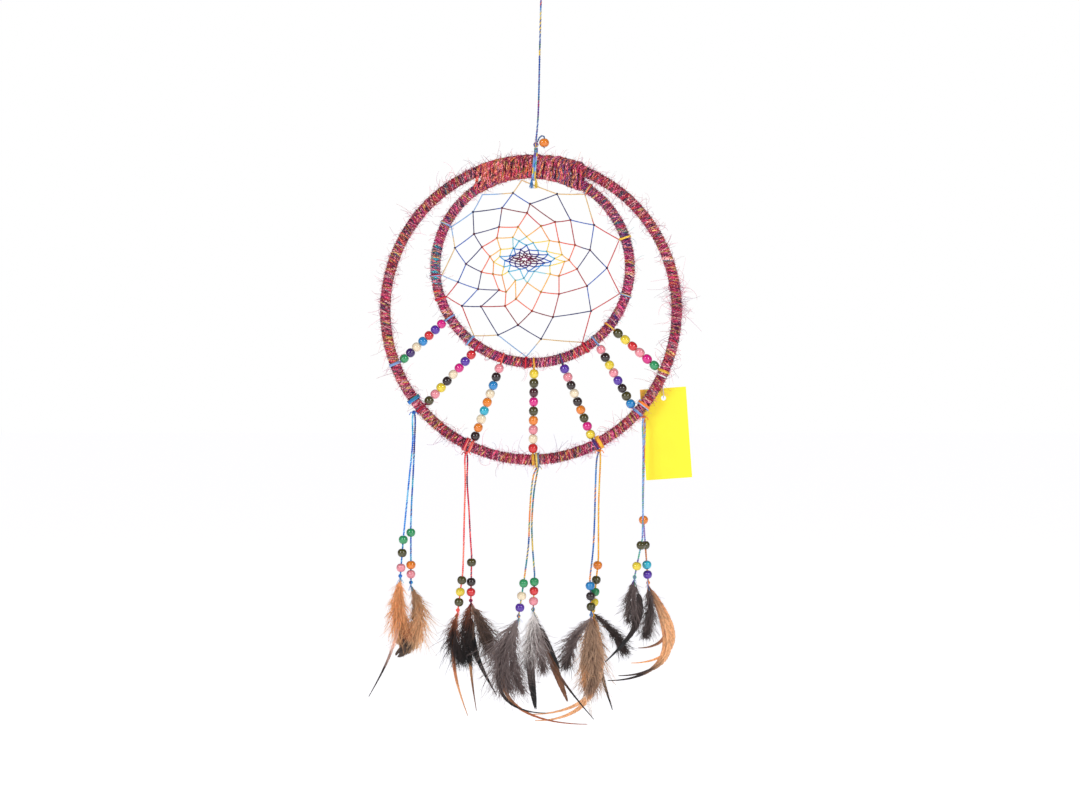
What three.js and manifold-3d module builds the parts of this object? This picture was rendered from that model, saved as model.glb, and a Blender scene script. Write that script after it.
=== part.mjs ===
// A dream catcher: two yarn-wrapped cane hoops bound together at the top, a woven web in the
// inner one, threads of wooden beads between the two, and five beaded pendants with feathers.
// Millimetres, +Z up, +X to the viewer's right, +Y away from the viewer.
// The origin is the inside top of the loop that goes over a nail or hook.

import * as THREE from 'three';
import { mergeVertices } from 'three/addons/utils/BufferGeometryUtils.js';
import Module from 'manifold-3d';

const wasm = await Module();
wasm.setup();

// ---- Driving dimensions ----

const GAP = 0.3;                 // between pieces that touch

const OUTER_HALF_WIDTH = 116.6;  // outer hoop, to the middle of its cane
const OUTER_HALF_HEIGHT = 119.4;
const INNER_HALF_WIDTH = 77.8;   // inner hoop, to the middle of its cane
const INNER_HALF_HEIGHT = 76.4;
const CANE_RADIUS = 2.2;
const OUTER_WRAP_RADIUS = 4.2;
const INNER_WRAP_RADIUS = 4;
const HANG_DROP = 146.6;         // from the hang point down to the outer hoop's top
const HOOP_SHIFT = -8;           // the hoops hang a little to the left of the hang point
const INNER_SHIFT = 1.3;         // the inner hoop sits a little to the right in the outer one

const BINDING_SPAN = 42;         // half the length of hoop that the top binding covers
const BINDING_YARN = 1;
const BINDING_BORE = 0.45;       // clear of the wraps under it

const CORD_RADIUS = 0.8;         // the doubled hanging cord
const LOOP_HALF_WIDTH = 5;
const LOOP_HEIGHT = 15;
const HANG_BEAD_RADIUS = 3.9;
const HANG_BEAD_BORE = 1.5;
const HANG_STRAND = 0.7;

const THREAD_RADIUS = 0.5;       // bead threads
const LOOP_THREAD = 0.9;         // the turns of thread round a hoop
const WEB_THREAD = 0.4;          // half the width of a web strand
const WEB_THICKNESS = 0.9;
const WEB_ROUNDS = 10;
const WEB_PULL = { x: 0.81, z: 0.76 };     // how far each inner round pulls the last one inward
const WEB_MIDDLE = { x: -3.6, z: 6.6 };    // from the inner hoop's centre
const WEB_ANCHORS = [185, 153, 124, 97, 55, 18, -17, -57, -94, -130, -161];

// The web's hitches from its middle, in its first four rounds, for this size of inner hoop. The
// rounds inside them follow from WEB_PULL.
const WEB_HITCHES = [
  [
    [-58.5, 8.9], [-44.1, 37.7], [-12.1, 52.9], [23.1, 52.1], [52.7, 27.3], [63.1, -7.1],
    [50.3, -41.5], [10.3, -63.9], [-24.1, -60.7], [-52.9, -37.5], [-56.1, -18.3],
  ],
  [
    [-43.3, 20.1], [-20.9, 40.9], [1.5, 44.1], [33.9, 31.3], [49.5, 7.3], [47.1, -21.5],
    [19.9, -46.3], [-8.1, -52.7], [-37.7, -37.9], [-40.1, -23.9], [-49.7, -3.9],
  ],
  [
    [-23.3, 25.7], [-0.9, 36.9], [21.5, 29.7], [37.5, 11.3], [39.1, -7.9], [24.7, -27.9],
    [3.1, -41.5], [-18.5, -37.5], [-23.3, -24.7], [-37.3, -10.3], [-36.9, 9.7],
  ],
  [
    [-8.1, 25.7], [10.3, 26.5], [24.7, 13.7], [32.7, -0.7], [24.7, -13.5], [10.3, -26.3],
    [-9.7, -31.9], [-17.7, -26.3], [-28.1, -11.9], [-30.5, 2.1], [-24.9, 16.9],
  ],
];
const WEB_HITCHES_FOR = { halfWidth: 77.8, halfHeight: 76.4 };

const BEAD_RADIUS = 3.8;
const BEAD_LENGTH = 6.6;
const BEAD_PITCH = BEAD_LENGTH + 0.05;   // the closest that beads on a thread sit
const BARE_THREAD = 0.5;                 // of a bead thread, both of its ends together
const BEAD_SIDES = 8;

const STRAND_RADIUS = 0.8;   // the pendants' cords
const TIE_WIDTH = 3.6;
const TIE_THICKNESS = 1;

const TAG = { width: 37, height: 73, thickness: 0.6, hole: 2, holeDrop: 8, drop: 17.7, back: 8 };

const DEG = Math.PI / 180;

// Each bead thread: where it leaves the inner hoop, where it reaches the outer one, its beads.
const BEAD_THREADS = [
  { inner: 211.8, outer: 201, beads: 7 },
  { inner: 235.7, outer: 221, beads: 8 },
  { inner: 252, outer: 245.7, beads: 9 },
  { inner: 270.8, outer: 270.8, beads: 9 },
  { inner: 287, outer: 296.1, beads: 9 },
  { inner: 309.8, outer: 317, beads: 8 },
  { inner: 322, outer: 335.9, beads: 6 },
];

// Each pendant: the angle of its tie on the outer hoop, how far it hangs behind (+) or in
// front (-) of the hoops, how far apart its two cords hang from front to back, and those
// cords, each just clear of the other's beads. A cord's route is across and down from the tie's
// lowest point, its beads are the bare lengths of cord above each of them, and each feather
// runs from the end knot to a tip, with a width, a bow to the right (+) or left (-) and a
// thickness.
const PENDANTS = [
  {
    angle: 216.5, back: 0, apart: 4,
    strands: [
      {
        route: [[-1, -5], [-0.8, -22], [-3.7, -52.5], [-6, -76.3], [-7.9, -95.4]],
        end: [-10.9, -131.4], beads: [1.8, 4, 5.3],
        feathers: [
          { tip: [4.7, -55.7], width: 12, bow: -2, thick: 1.4 },
          { tip: [-25.3, -94.9], width: 5, bow: 7, thick: 1 },
        ],
      },
      {
        route: [[1, -5], [0.5, -22], [-0.7, -49.5], [-1.9, -71.9], [-2.5, -89.9]],
        end: [-2.4, -136.9], beads: [1.8, 19.3, 0.8],
        feathers: [{ tip: [-7, -57.4], width: 17, bow: 9, thick: 2.4 }],
      },
    ],
  },
  {
    angle: 243.6, back: 0, apart: 4,
    strands: [
      {
        route: [[-1, -5], [-0.7, -22], [-1.5, -52.4], [-2, -76.3], [-2.7, -95.3]],
        end: [-6.8, -126.8], beads: [2.3, 2.8, 1.7],
        feathers: [
          { tip: [3.5, -38], width: 15, bow: -2, thick: 2.4 },
          { tip: [8.2, -82.7], width: 4, bow: -2, thick: 1 },
        ],
      },
      {
        route: [[1, -5], [0.7, -22], [2.2, -45], [3.2, -65.5], [4.3, -81.8]],
        end: [3.6, -119.3], beads: [1.8, 9, 1.6],
        feathers: [
          { tip: [20.6, -73.8], width: 6, bow: -7, thick: 1 },
          { tip: [19.5, -27.8], width: 13, bow: 2, thick: 2.4 },
          { tip: [4.5, -86.6], width: 4, bow: 1.5, thick: 1 },
        ],
      },
    ],
  },
  {
    angle: 272.5, back: -6, apart: 4,
    strands: [
      {
        route: [[-2.8, -5], [-5, -20], [-6.4, -44], [-7, -60], [-10.2, -86.5]],
        end: [-15.2, -119.5], beads: [1.7, 3.6, 2.8],
        feathers: [
          { tip: [-8.3, -53.7], width: 20, bow: -3, thick: 2.8 },
          { tip: [15.4, -73.7], width: 5, bow: -18, thick: 1 },
        ],
      },
      {
        route: [[-0.4, -5], [-2.8, -20], [-4.4, -44], [-4, -60], [-2.2, -85]],
        end: [-3.4, -114.5], beads: [2.2, 0.7, 1.6],
        feathers: [
          { tip: [1.8, -75.9], width: 13, bow: -2, thick: 2.6 },
          { tip: [27.1, -70.7], width: 9, bow: 2, thick: 1.2 },
          { tip: [21.1, -45.1], width: 5, bow: 2, thick: 1 },
          { tip: [48.7, -86.3], width: 5, bow: -8, thick: 1 },
        ],
      },
    ],
  },
  {
    angle: 298, back: 6, apart: 7.6,
    strands: [
      {
        route: [[-2, -5], [-3.2, -28], [-3.8, -52], [-5, -78], [-7.6, -101.5]],
        end: [-6.4, -132.3], beads: [2.3, 1.7, 1.8],
        feathers: [
          { tip: [-1.1, -57.8], width: 21, bow: 1, thick: 2.8 },
          { tip: [-20, -37.8], width: 12, bow: -3, thick: 2 },
          { tip: [0, -79.4], width: 12, bow: -4, thick: 1.6 },
        ],
      },
      {
        route: [[0.8, -5], [-0.4, -40], [-0.6, -85.5]],
        end: [-4.9, -129.5], beads: [2.3, 5.2, 3.1, 1.7],
        feathers: [
          { tip: [-42.6, -76.2], width: 4, bow: 20, thick: 1 },
          { tip: [15.5, -77.4], width: 4, bow: 0, thick: 1 },
          { tip: [28.1, -24.6], width: 10, bow: 3, thick: 2 },
        ],
      },
    ],
  },
  {
    angle: 320.7, back: -4, apart: 7.6,
    strands: [
      {
        route: [[-1, -5], [-0.6, -22], [-1, -52.6], [-1, -76.4], [-1.4, -95.6]],
        end: [-8, -128.1], beads: [2, 10.3],
        feathers: [
          { tip: [0.9, -39], width: 8, bow: -2, thick: 1.6 },
          { tip: [-22.9, -65.6], width: 5, bow: 12, thick: 1 },
        ],
      },
      {
        route: [[1, -5], [0.6, -22], [0.1, -41.6], [-0.5, -60.4], [-0.7, -75.6]],
        end: [3.6, -133.1], beads: [2, 13.6, 9.2, 1.2],
        feathers: [
          { tip: [-1.9, -40.6], width: 10, bow: 1, thick: 1.6 },
          { tip: [-20.3, -74.6], width: 5, bow: 20, thick: 1 },
        ],
      },
    ],
  },
];

// ---- Colours, one for each sort of material ----

const COLOURS = {
  cane: 0xb08a55,
  crimson: 0x9e1f45,
  magenta: 0x8a2357,
  olive: 0xa8642c,
  cord: 0x4c6ea8,
  thread: 0xc05a6a,
  bead: 0xe08a3a,
  feather: 0x6b4a35,
  tag: 0xe8c93c,
  white: 0xf2f0ea,
};
const STRING_COLOURS = [0xe0409a, 0xdc2a3c, 0x1f96cc, 0xefc53a, 0x53309a, 0xe88aa0, 0x2f9a5a];
const PENDANT_COLOURS = [0x2c6fd0, 0xe2503e, 0x4f8f9e, 0xe8a032, 0x86aede];

// ---- Shape helpers ----

const at = (x, y, z) => new THREE.Vector3(x, y, z);

// A closed solid from a geometry that has only its positions, with shared vertices merged.
function solid(geometry) {
  const bare = geometry.clone();
  bare.deleteAttribute('normal');
  bare.deleteAttribute('uv');
  const merged = mergeVertices(bare, 1e-4);
  const vertProperties = new Float32Array(merged.attributes.position.array);
  const triVerts = new Uint32Array(merged.index.array);
  return new wasm.Manifold(new wasm.Mesh({ numProp: 3, vertProperties, triVerts }));
}

function geometryOf(manifold) {
  const { vertProperties, triVerts } = manifold.getMesh();
  const geometry = new THREE.BufferGeometry();
  geometry.setAttribute('position', new THREE.BufferAttribute(new Float32Array(vertProperties), 3));
  geometry.setIndex(new THREE.BufferAttribute(new Uint32Array(triVerts), 1));
  geometry.computeVertexNormals();
  return geometry;
}

const joined = geometries => geometryOf(geometries.map(solid).reduce((all, next) => all.add(next)));

function ringPoints(radius, sides) {
  return Array.from({ length: sides }, (_, i) => {
    const turn = ((i + 0.5) / sides) * 2 * Math.PI;
    return new THREE.Vector2(radius * Math.cos(turn), radius * Math.sin(turn));
  });
}

const BORE_SIDES = 6;

// A round bar along a curve. A bore makes it a sleeve.
function bar(curve, radius, steps, sides = 8, bore = 0) {
  const section = new THREE.Shape(ringPoints(radius, sides));
  if (bore) section.holes.push(new THREE.Path(ringPoints(bore, BORE_SIDES).reverse()));
  return new THREE.ExtrudeGeometry(section, { extrudePath: curve, steps, bevelEnabled: false });
}

const route = points => new THREE.CatmullRomCurve3(points, false, 'centripetal');

// A small ring round a hoop's wrap, at an angle round that hoop.
function ringRound(hoop, angle, clear, width, thickness, sides = 12) {
  const inside = (hoop.wrapRadius + clear) / Math.cos(Math.PI / sides);
  const profile = [
    new THREE.Vector2(inside, -width / 2),
    new THREE.Vector2(inside + thickness, -width / 2),
    new THREE.Vector2(inside + thickness, width / 2),
    new THREE.Vector2(inside, width / 2),
    new THREE.Vector2(inside, -width / 2),
  ];
  const ring = new THREE.LatheGeometry(profile, sides);
  const spot = hoop.at(angle);
  ring.applyQuaternion(new THREE.Quaternion().setFromUnitVectors(at(0, 1, 0), hoop.along(angle)));
  ring.translate(spot.x, spot.y, spot.z);
  return ring;
}

// ---- The two hoops ----

class Ellipse extends THREE.Curve {
  constructor(centre, halfWidth, halfHeight, from, to) {
    super();
    Object.assign(this, { centre, halfWidth, halfHeight, from, to });
  }
  getPoint(t) {
    const angle = THREE.MathUtils.lerp(this.from, this.to, t) * DEG;
    const x = this.centre.x + this.halfWidth * Math.cos(angle);
    return at(x, 0, this.centre.z + this.halfHeight * Math.sin(angle));
  }
  // Evenly stepped in angle, so that its ends stay where they are asked for.
  getPointAt(t) {
    return this.getPoint(t);
  }
}

function makeHoop(centre, halfWidth, halfHeight, wrapRadius) {
  const arc = (from, to) => new Ellipse(centre, halfWidth, halfHeight, from, to);
  return {
    centre, halfWidth, halfHeight, wrapRadius, arc,
    at: angle => arc(angle, angle).getPoint(0),
    along: angle => {
      const turn = angle * DEG;
      return at(-halfWidth * Math.sin(turn), 0, halfHeight * Math.cos(turn)).normalize();
    },
  };
}

const outerCentre = at(HOOP_SHIFT, 0, -HANG_DROP - OUTER_HALF_HEIGHT);
const outer = makeHoop(outerCentre, OUTER_HALF_WIDTH, OUTER_HALF_HEIGHT, OUTER_WRAP_RADIUS);
const hoopSpacing = OUTER_WRAP_RADIUS + INNER_WRAP_RADIUS + GAP;
const innerTop = -HANG_DROP - hoopSpacing;
const innerCentre = at(HOOP_SHIFT + INNER_SHIFT, 0, innerTop - INNER_HALF_HEIGHT);
const inner = makeHoop(innerCentre, INNER_HALF_WIDTH, INNER_HALF_HEIGHT, INNER_WRAP_RADIUS);

const SEAM = 0.6;   // degrees left open at the top, under the binding, where cane and wrap end
const HOOP_STEPS = 42;

// A bent cane, whose two ends butt under the binding.
const bentCane = hoop => bar(hoop.arc(90 + SEAM, 450 - SEAM), CANE_RADIUS, HOOP_STEPS, 6);

// The yarn round it, as a sleeve with the same steps and the same sides inside.
const wrapSleeve = hoop =>
  bar(hoop.arc(90 + SEAM, 450 - SEAM), hoop.wrapRadius, HOOP_STEPS, 8, CANE_RADIUS + GAP);

// Yarn wound round both wraps at the top: a sleeve on each hoop, run together where they touch.
function topBinding() {
  const spread = hoop => Math.asin(BINDING_SPAN / hoop.halfWidth) / DEG;
  const over = (hoop, extra, past) => {
    const half = spread(hoop) + past;
    return solid(bar(hoop.arc(90 - half, 90 + half), hoop.wrapRadius + extra, 8));
  };
  const thick = BINDING_BORE + BINDING_YARN;
  const shell = over(outer, thick, 0).add(over(inner, thick, 0));
  return geometryOf(shell.subtract(over(outer, BINDING_BORE, 2)).subtract(over(inner, BINDING_BORE, 2)));
}

// ---- The web ----

const RING_CLEAR = 0.45;         // a ring or loop stands this far off the wrap it goes round

const bindingReach = Math.asin(BINDING_SPAN / INNER_HALF_WIDTH) / DEG + 2;
const underBinding = angle => Math.abs(angle - 90) < bindingReach;

// Where a thread leaves its loop round a hoop, on the side towards a point.
function offHoop(hoop, angle, towards, extra) {
  const spot = hoop.at(angle);
  const away = at(0, 1, 0).cross(hoop.along(angle));
  const side = Math.sign(away.dot(towards.clone().sub(spot)));
  return spot.clone().add(away.multiplyScalar(side * (hoop.wrapRadius + extra)));
}

function webNodes() {
  const middle = at(inner.centre.x + WEB_MIDDLE.x, 0, inner.centre.z + WEB_MIDDLE.z);
  const anchors = WEB_ANCHORS.map(angle => {
    const bound = BINDING_BORE + BINDING_YARN + WEB_THREAD + GAP;
    const looped = RING_CLEAR + LOOP_THREAD / 2;
    return offHoop(inner, angle, middle, underBinding(angle) ? bound : looped);
  });
  const wider = INNER_HALF_WIDTH / WEB_HITCHES_FOR.halfWidth;
  const taller = INNER_HALF_HEIGHT / WEB_HITCHES_FOR.halfHeight;
  const hitch = ([x, z]) => at(middle.x + x * wider, 0, middle.z + z * taller);
  const hitched = WEB_HITCHES.map(round => round.map(hitch));
  const rounds = [anchors, ...hitched];
  while (rounds.length <= WEB_ROUNDS) {
    const last = rounds[rounds.length - 1];
    rounds.push(last.map((spot, i) => {
      const halfway = spot.clone().lerp(last[(i + 1) % last.length], 0.5).sub(middle);
      return at(middle.x + halfway.x * WEB_PULL.x, 0, middle.z + halfway.z * WEB_PULL.z);
    }));
  }
  return rounds;
}

// A polygon's outline moved inward by a distance, or outward by a negative one.
function inset(points, distance) {
  const area = points.reduce((sum, a, i) => {
    const b = points[(i + 1) % points.length];
    return sum + a.x * b.y - b.x * a.y;
  }, 0);
  const side = Math.sign(area) * distance;
  return points.map((corner, i) => {
    const before = points[(i + points.length - 1) % points.length];
    const after = points[(i + 1) % points.length];
    const a = corner.clone().sub(before).normalize();
    const b = after.clone().sub(corner).normalize();
    const left = new THREE.Vector2(-a.y - b.y, a.x + b.x);
    const reach = side / Math.max(0.3, Math.sqrt(Math.max(0, (1 + a.dot(b)) / 2)));
    return corner.clone().add(left.normalize().multiplyScalar(reach));
  });
}

function web() {
  const rounds = webNodes();
  const count = WEB_ANCHORS.length;
  const flat = spot => new THREE.Vector2(spot.x, spot.z);
  const next = i => (i + 1) % count;
  const outline = [];
  for (let i = 0; i < count; i += 1) outline.push(flat(rounds[0][i]), flat(rounds[1][i]));
  const plate = new THREE.Shape(inset(outline, -WEB_THREAD));
  for (let round = 1; round < WEB_ROUNDS; round += 1) {
    for (let i = 0; i < count; i += 1) {
      const cell = [
        rounds[round - 1][next(i)], rounds[round][i], rounds[round + 1][i], rounds[round][next(i)],
      ];
      plate.holes.push(new THREE.Path(inset(cell.map(flat), WEB_THREAD)));
    }
  }
  plate.holes.push(new THREE.Path(inset(rounds[WEB_ROUNDS].map(flat).reverse(), WEB_THREAD)));
  const net = new THREE.ExtrudeGeometry(plate, { depth: WEB_THICKNESS, bevelEnabled: false });
  net.rotateX(Math.PI / 2);
  net.translate(0, WEB_THICKNESS / 2, 0);
  const loops = WEB_ANCHORS.filter(angle => !underBinding(angle))
    .map(angle => ringRound(inner, angle, RING_CLEAR, LOOP_THREAD, LOOP_THREAD, 8));
  return joined([net, ...loops]);
}

// ---- Beads ----

// A bead's outline along its bore, from one end to the other, round a thread.
function beadProfile(middle, threadRadius) {
  const rim = BEAD_RADIUS * 0.97;
  return [[-0.49, threadRadius], [-0.23, rim], [0.23, rim], [0.49, threadRadius]]
    .map(([along, out]) => new THREE.Vector2(out, middle + along * BEAD_LENGTH));
}

// A thread with its beads, turned about a straight line from one point to another.
function beadedThread(from, to, middles, threadRadius, knot = 0) {
  const length = from.distanceTo(to);
  const profile = [new THREE.Vector2(0, 0), new THREE.Vector2(threadRadius, 0)];
  for (const middle of middles) profile.push(...beadProfile(middle, threadRadius));
  if (knot) {
    profile.push(new THREE.Vector2(threadRadius, length - 2.4 * knot));
    profile.push(new THREE.Vector2(knot, length - 1.4 * knot));
  }
  profile.push(new THREE.Vector2(knot || threadRadius, length), new THREE.Vector2(0, length));
  const geometry = new THREE.LatheGeometry(profile, BEAD_SIDES);
  const way = to.clone().sub(from).normalize();
  geometry.applyQuaternion(new THREE.Quaternion().setFromUnitVectors(at(0, 1, 0), way));
  geometry.translate(from.x, from.y, from.z);
  return geometry;
}

function beadThread({ inner: innerAngle, outer: outerAngle, beads }) {
  const reach = RING_CLEAR + LOOP_THREAD / 2;
  const start = offHoop(inner, innerAngle, outer.at(outerAngle), reach);
  const end = offHoop(outer, outerAngle, inner.at(innerAngle), reach);
  const room = start.distanceTo(end);
  const count = Math.min(beads, Math.floor((room - BARE_THREAD) / BEAD_PITCH));
  const pitch = (room - BARE_THREAD) / count;
  const middles = Array.from({ length: count }, (_, i) => BARE_THREAD / 2 + (i + 0.5) * pitch);
  return joined([
    beadedThread(start, end, middles, THREAD_RADIUS),
    ringRound(inner, innerAngle, RING_CLEAR, LOOP_THREAD, LOOP_THREAD, 8),
    ringRound(outer, outerAngle, RING_CLEAR, LOOP_THREAD, LOOP_THREAD, 8),
  ]);
}

// ---- Pendants ----

const KNOT_RADIUS = 1.7;

// A flat feather from its quill to its tip: widest in the middle, bowed to one side.
function featherBlade({ tip, width, bow, thick }, quill) {
  const stations = 6;
  const left = [];
  const right = [];
  for (let i = 0; i <= stations; i += 1) {
    const t = i / stations;
    const x = tip[0] * t + bow * Math.sin(Math.PI * t);
    const half = 0.4 + (width / 2 - 0.4) * Math.sin(Math.PI * t ** 0.8) ** 0.7;
    const slope = (tip[0] + bow * Math.PI * Math.cos(Math.PI * t)) / Math.abs(tip[1]);
    const reach = half / Math.hypot(1, slope);
    left.push(new THREE.Vector2(x - reach, tip[1] * t - slope * reach));
    right.unshift(new THREE.Vector2(x + reach, tip[1] * t + slope * reach));
  }
  const blade = new THREE.ExtrudeGeometry(new THREE.Shape([...left, ...right]), {
    depth: thick, bevelEnabled: false,
  });
  blade.rotateX(Math.PI / 2);
  blade.translate(quill.x, quill.y + thick / 2, quill.z);
  return blade;
}

// The cord's upper stretch, its beaded stretch with the end knot, and the feathers under it.
function strandPieces(pendant, index, strand, tieFoot) {
  const depth = pendant.apart * (index - 0.5);
  const top = tieFoot.clone().add(at(index ? 0.6 : -0.6, 2 * Math.sign(depth), 0));
  const bottom = strand.route[strand.route.length - 1][1];
  const spot = ([x, z]) => {
    const eased = Math.min(1, 1.4 * z / bottom);
    const y = pendant.back * eased + THREE.MathUtils.lerp(2 * Math.sign(depth), depth, eased);
    return at(tieFoot.x + x, y, tieFoot.z + z);
  };
  const points = strand.route.map(spot);
  const bend = points[points.length - 1];
  const hungEnd = at(tieFoot.x + strand.end[0], pendant.back + depth, tieFoot.z + strand.end[1]);
  const down = hungEnd.clone().sub(bend).normalize();
  const cord = bar(route([top, ...points]), STRAND_RADIUS, strand.route.length + 3);
  const beadedTop = bend.clone().add(down.clone().multiplyScalar(GAP + 0.05));
  const middles = strand.beads.map((bare, i) => {
    const above = strand.beads.slice(0, i + 1).reduce((sum, length) => sum + length, 0);
    return above + (i + 0.5) * BEAD_LENGTH;
  });
  const lowest = middles[middles.length - 1] + BEAD_LENGTH / 2 + KNOT_RADIUS * 2.6;
  const reach = Math.max(hungEnd.distanceTo(beadedTop), lowest);
  const knotEnd = beadedTop.clone().add(down.clone().multiplyScalar(reach));
  const beaded = beadedThread(beadedTop, knotEnd, middles, STRAND_RADIUS, KNOT_RADIUS);
  const quill = knotEnd.clone().add(at(0, 0, -GAP - 0.05));
  const blades = strand.feathers.map(feather => featherBlade(feather, quill));
  return { cord, beaded, feathers: blades.length > 1 ? joined(blades) : blades[0] };
}

function tie(angle) {
  return ringRound(outer, angle, RING_CLEAR, TIE_WIDTH, TIE_THICKNESS);
}

function tieFoot(angle) {
  const reach = (outer.wrapRadius + RING_CLEAR) / Math.cos(Math.PI / 12) + TIE_THICKNESS + GAP;
  const slope = Math.abs(outer.along(angle).x);
  return outer.at(angle).add(at(0, 0, -(reach + 0.6) / slope));
}

// ---- Hanging gear ----

const knotTop = at(HOOP_SHIFT + 4, 0, -HANG_DROP + OUTER_WRAP_RADIUS + BINDING_YARN + 8);
const KNOT_SIZE = 2.2;           // radius of the knot over the hoops
const LOOP_KNOT = 2;             // radius of the knot that closes the loop

// A loop of cord, open in the middle, closed at its knot.
function hangLoop() {
  const points = [
    at(-0.2, 0, -LOOP_HEIGHT), at(-LOOP_HALF_WIDTH, 0, -LOOP_HEIGHT * 0.45),
    at(-LOOP_HALF_WIDTH * 0.6, 0, CORD_RADIUS * 0.2), at(0, 0, CORD_RADIUS),
    at(LOOP_HALF_WIDTH * 0.6, 0, CORD_RADIUS * 0.2), at(LOOP_HALF_WIDTH, 0, -LOOP_HEIGHT * 0.45),
    at(0.2, 0, -LOOP_HEIGHT),
  ];
  const knot = new THREE.SphereGeometry(LOOP_KNOT, 8, 5);
  knot.translate(0, 0, -LOOP_HEIGHT);
  return joined([bar(route(points), CORD_RADIUS, 14, 6), knot]);
}

const hangCord = () => bar(route([
  at(0, 0, -LOOP_HEIGHT - LOOP_KNOT - GAP), at(-1, 0, -58), at(-2.4, 0, -112),
  at(knotTop.x, 0, knotTop.z + KNOT_SIZE + GAP),
]), CORD_RADIUS, 18);

function hangKnot() {
  const knot = new THREE.SphereGeometry(KNOT_SIZE, 8, 6);
  knot.translate(knotTop.x, 0, knotTop.z);
  return knot;
}

// The cord's turn round both hoops under the knot, and its cut ends in front.
function hangLashing() {
  const thread = CORD_RADIUS;
  const clear = BINDING_BORE + BINDING_YARN + thread + GAP;
  const top = knotTop.z - KNOT_SIZE - GAP - thread;
  const high = -HANG_DROP + OUTER_WRAP_RADIUS + clear;
  const low = innerTop - INNER_WRAP_RADIUS - clear;
  const deep = OUTER_WRAP_RADIUS + clear + 0.4;
  const halfTurn = side => bar(route([
    at(knotTop.x, side * -0.4, top), at(knotTop.x, side * 3.2, high + 0.8),
    at(knotTop.x - 0.6, side * deep, high - 4), at(knotTop.x - 1.8, side * deep, low + 4),
    at(knotTop.x - 2, side * 3.4, low + 0.6), at(knotTop.x - 2, side * -0.2, low - 0.1),
  ]), thread, 12, 6);
  const tail = new THREE.CylinderGeometry(1.3, 1.9, 8, 8);
  tail.rotateX(Math.PI / 2);
  tail.translate(knotTop.x - 2, -3.2, low - 3.2);
  return joined([halfTurn(-1), halfTurn(1), tail]);
}

const beadSpot = at(knotTop.x + KNOT_SIZE + 0.4 + HANG_BEAD_RADIUS, 0, knotTop.z + 1.5);

function hangBead() {
  const bore = HANG_BEAD_BORE;
  const half = HANG_BEAD_RADIUS * 0.92;
  const outside = [-0.9, -0.5, 0, 0.5, 0.9].map(share => {
    const out = HANG_BEAD_RADIUS * Math.sqrt(1 - (share * 0.92) ** 2);
    return new THREE.Vector2(Math.max(out, bore + 0.6), share * half);
  });
  const profile = [...outside, new THREE.Vector2(bore, 0.9 * half), new THREE.Vector2(bore, -0.9 * half)];
  profile.push(profile[0].clone());
  const bead = new THREE.LatheGeometry(profile, 12);
  bead.rotateX(Math.PI / 2);
  bead.translate(beadSpot.x, beadSpot.y, beadSpot.z);
  return bead;
}

// The side strand that carries the orange bead: it leaves the knot, passes down through the
// bead's bore and returns to the knot.
function beadStrand() {
  const top = beadSpot.z + HANG_BEAD_RADIUS + 1.9;
  const off = KNOT_SIZE + HANG_STRAND + GAP;
  return bar(route([
    at(knotTop.x + off / 2, 0, knotTop.z + off * 0.87), at(beadSpot.x - HANG_BEAD_RADIUS, 0, top - 1.9),
    at(beadSpot.x - 1.6, 0, top), at(beadSpot.x, 0, top - 1),
    at(beadSpot.x, 0, beadSpot.z), at(beadSpot.x, 0, beadSpot.z - HANG_BEAD_RADIUS - 0.4),
  ]), HANG_STRAND, 12, 6);
}

// ---- The tag and its thread ----

const TAG_ANGLE = 334;
const TAG_LEAN = 4 * DEG;

function tagPlace() {
  const hoopSpot = outer.at(TAG_ANGLE);
  const behind = outer.wrapRadius + RING_CLEAR + LOOP_THREAD;
  const top = hoopSpot.clone().add(at(0, behind + 0.6 + GAP, -0.5));
  const hole = hoopSpot.clone().add(at(1.6, TAG.back, -TAG.drop));
  return { top, hole };
}

function tag() {
  const { hole } = tagPlace();
  const outline = new THREE.Shape([
    new THREE.Vector2(-TAG.width / 2, TAG.holeDrop - TAG.height),
    new THREE.Vector2(TAG.width / 2, TAG.holeDrop - TAG.height),
    new THREE.Vector2(TAG.width / 2, TAG.holeDrop),
    new THREE.Vector2(-TAG.width / 2, TAG.holeDrop),
  ]);
  outline.holes.push(new THREE.Path(ringPoints(TAG.hole, 10)));
  const card = new THREE.ExtrudeGeometry(outline, { depth: TAG.thickness, bevelEnabled: false });
  card.rotateX(Math.PI / 2);
  card.translate(0, TAG.thickness / 2, 0);
  card.rotateY(-TAG_LEAN);
  card.translate(hole.x, hole.y, hole.z);
  return card;
}

const tagLoop = () => ringRound(outer, TAG_ANGLE, RING_CLEAR, LOOP_THREAD, LOOP_THREAD, 8);

// The thread from its loop round the hoop, down behind it and through the tag's hole.
function tagThread() {
  const { top, hole } = tagPlace();
  return bar(route([
    top, at(top.x + 0.5, hole.y - 2, hole.z + 12), at(hole.x, hole.y - 1.4, hole.z + 2.4),
    hole, at(hole.x, hole.y + 1.6, hole.z + 1.6),
  ]), 0.45, 14, 6);
}

// ---- The assembly ----

const group = new THREE.Group();

function add(name, geometry, colour, roughness = 0.85, metalness = 0) {
  const material = new THREE.MeshStandardMaterial({ color: colour, roughness, metalness });
  const mesh = new THREE.Mesh(geometry, material);
  mesh.name = name;
  group.add(mesh);
}

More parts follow.
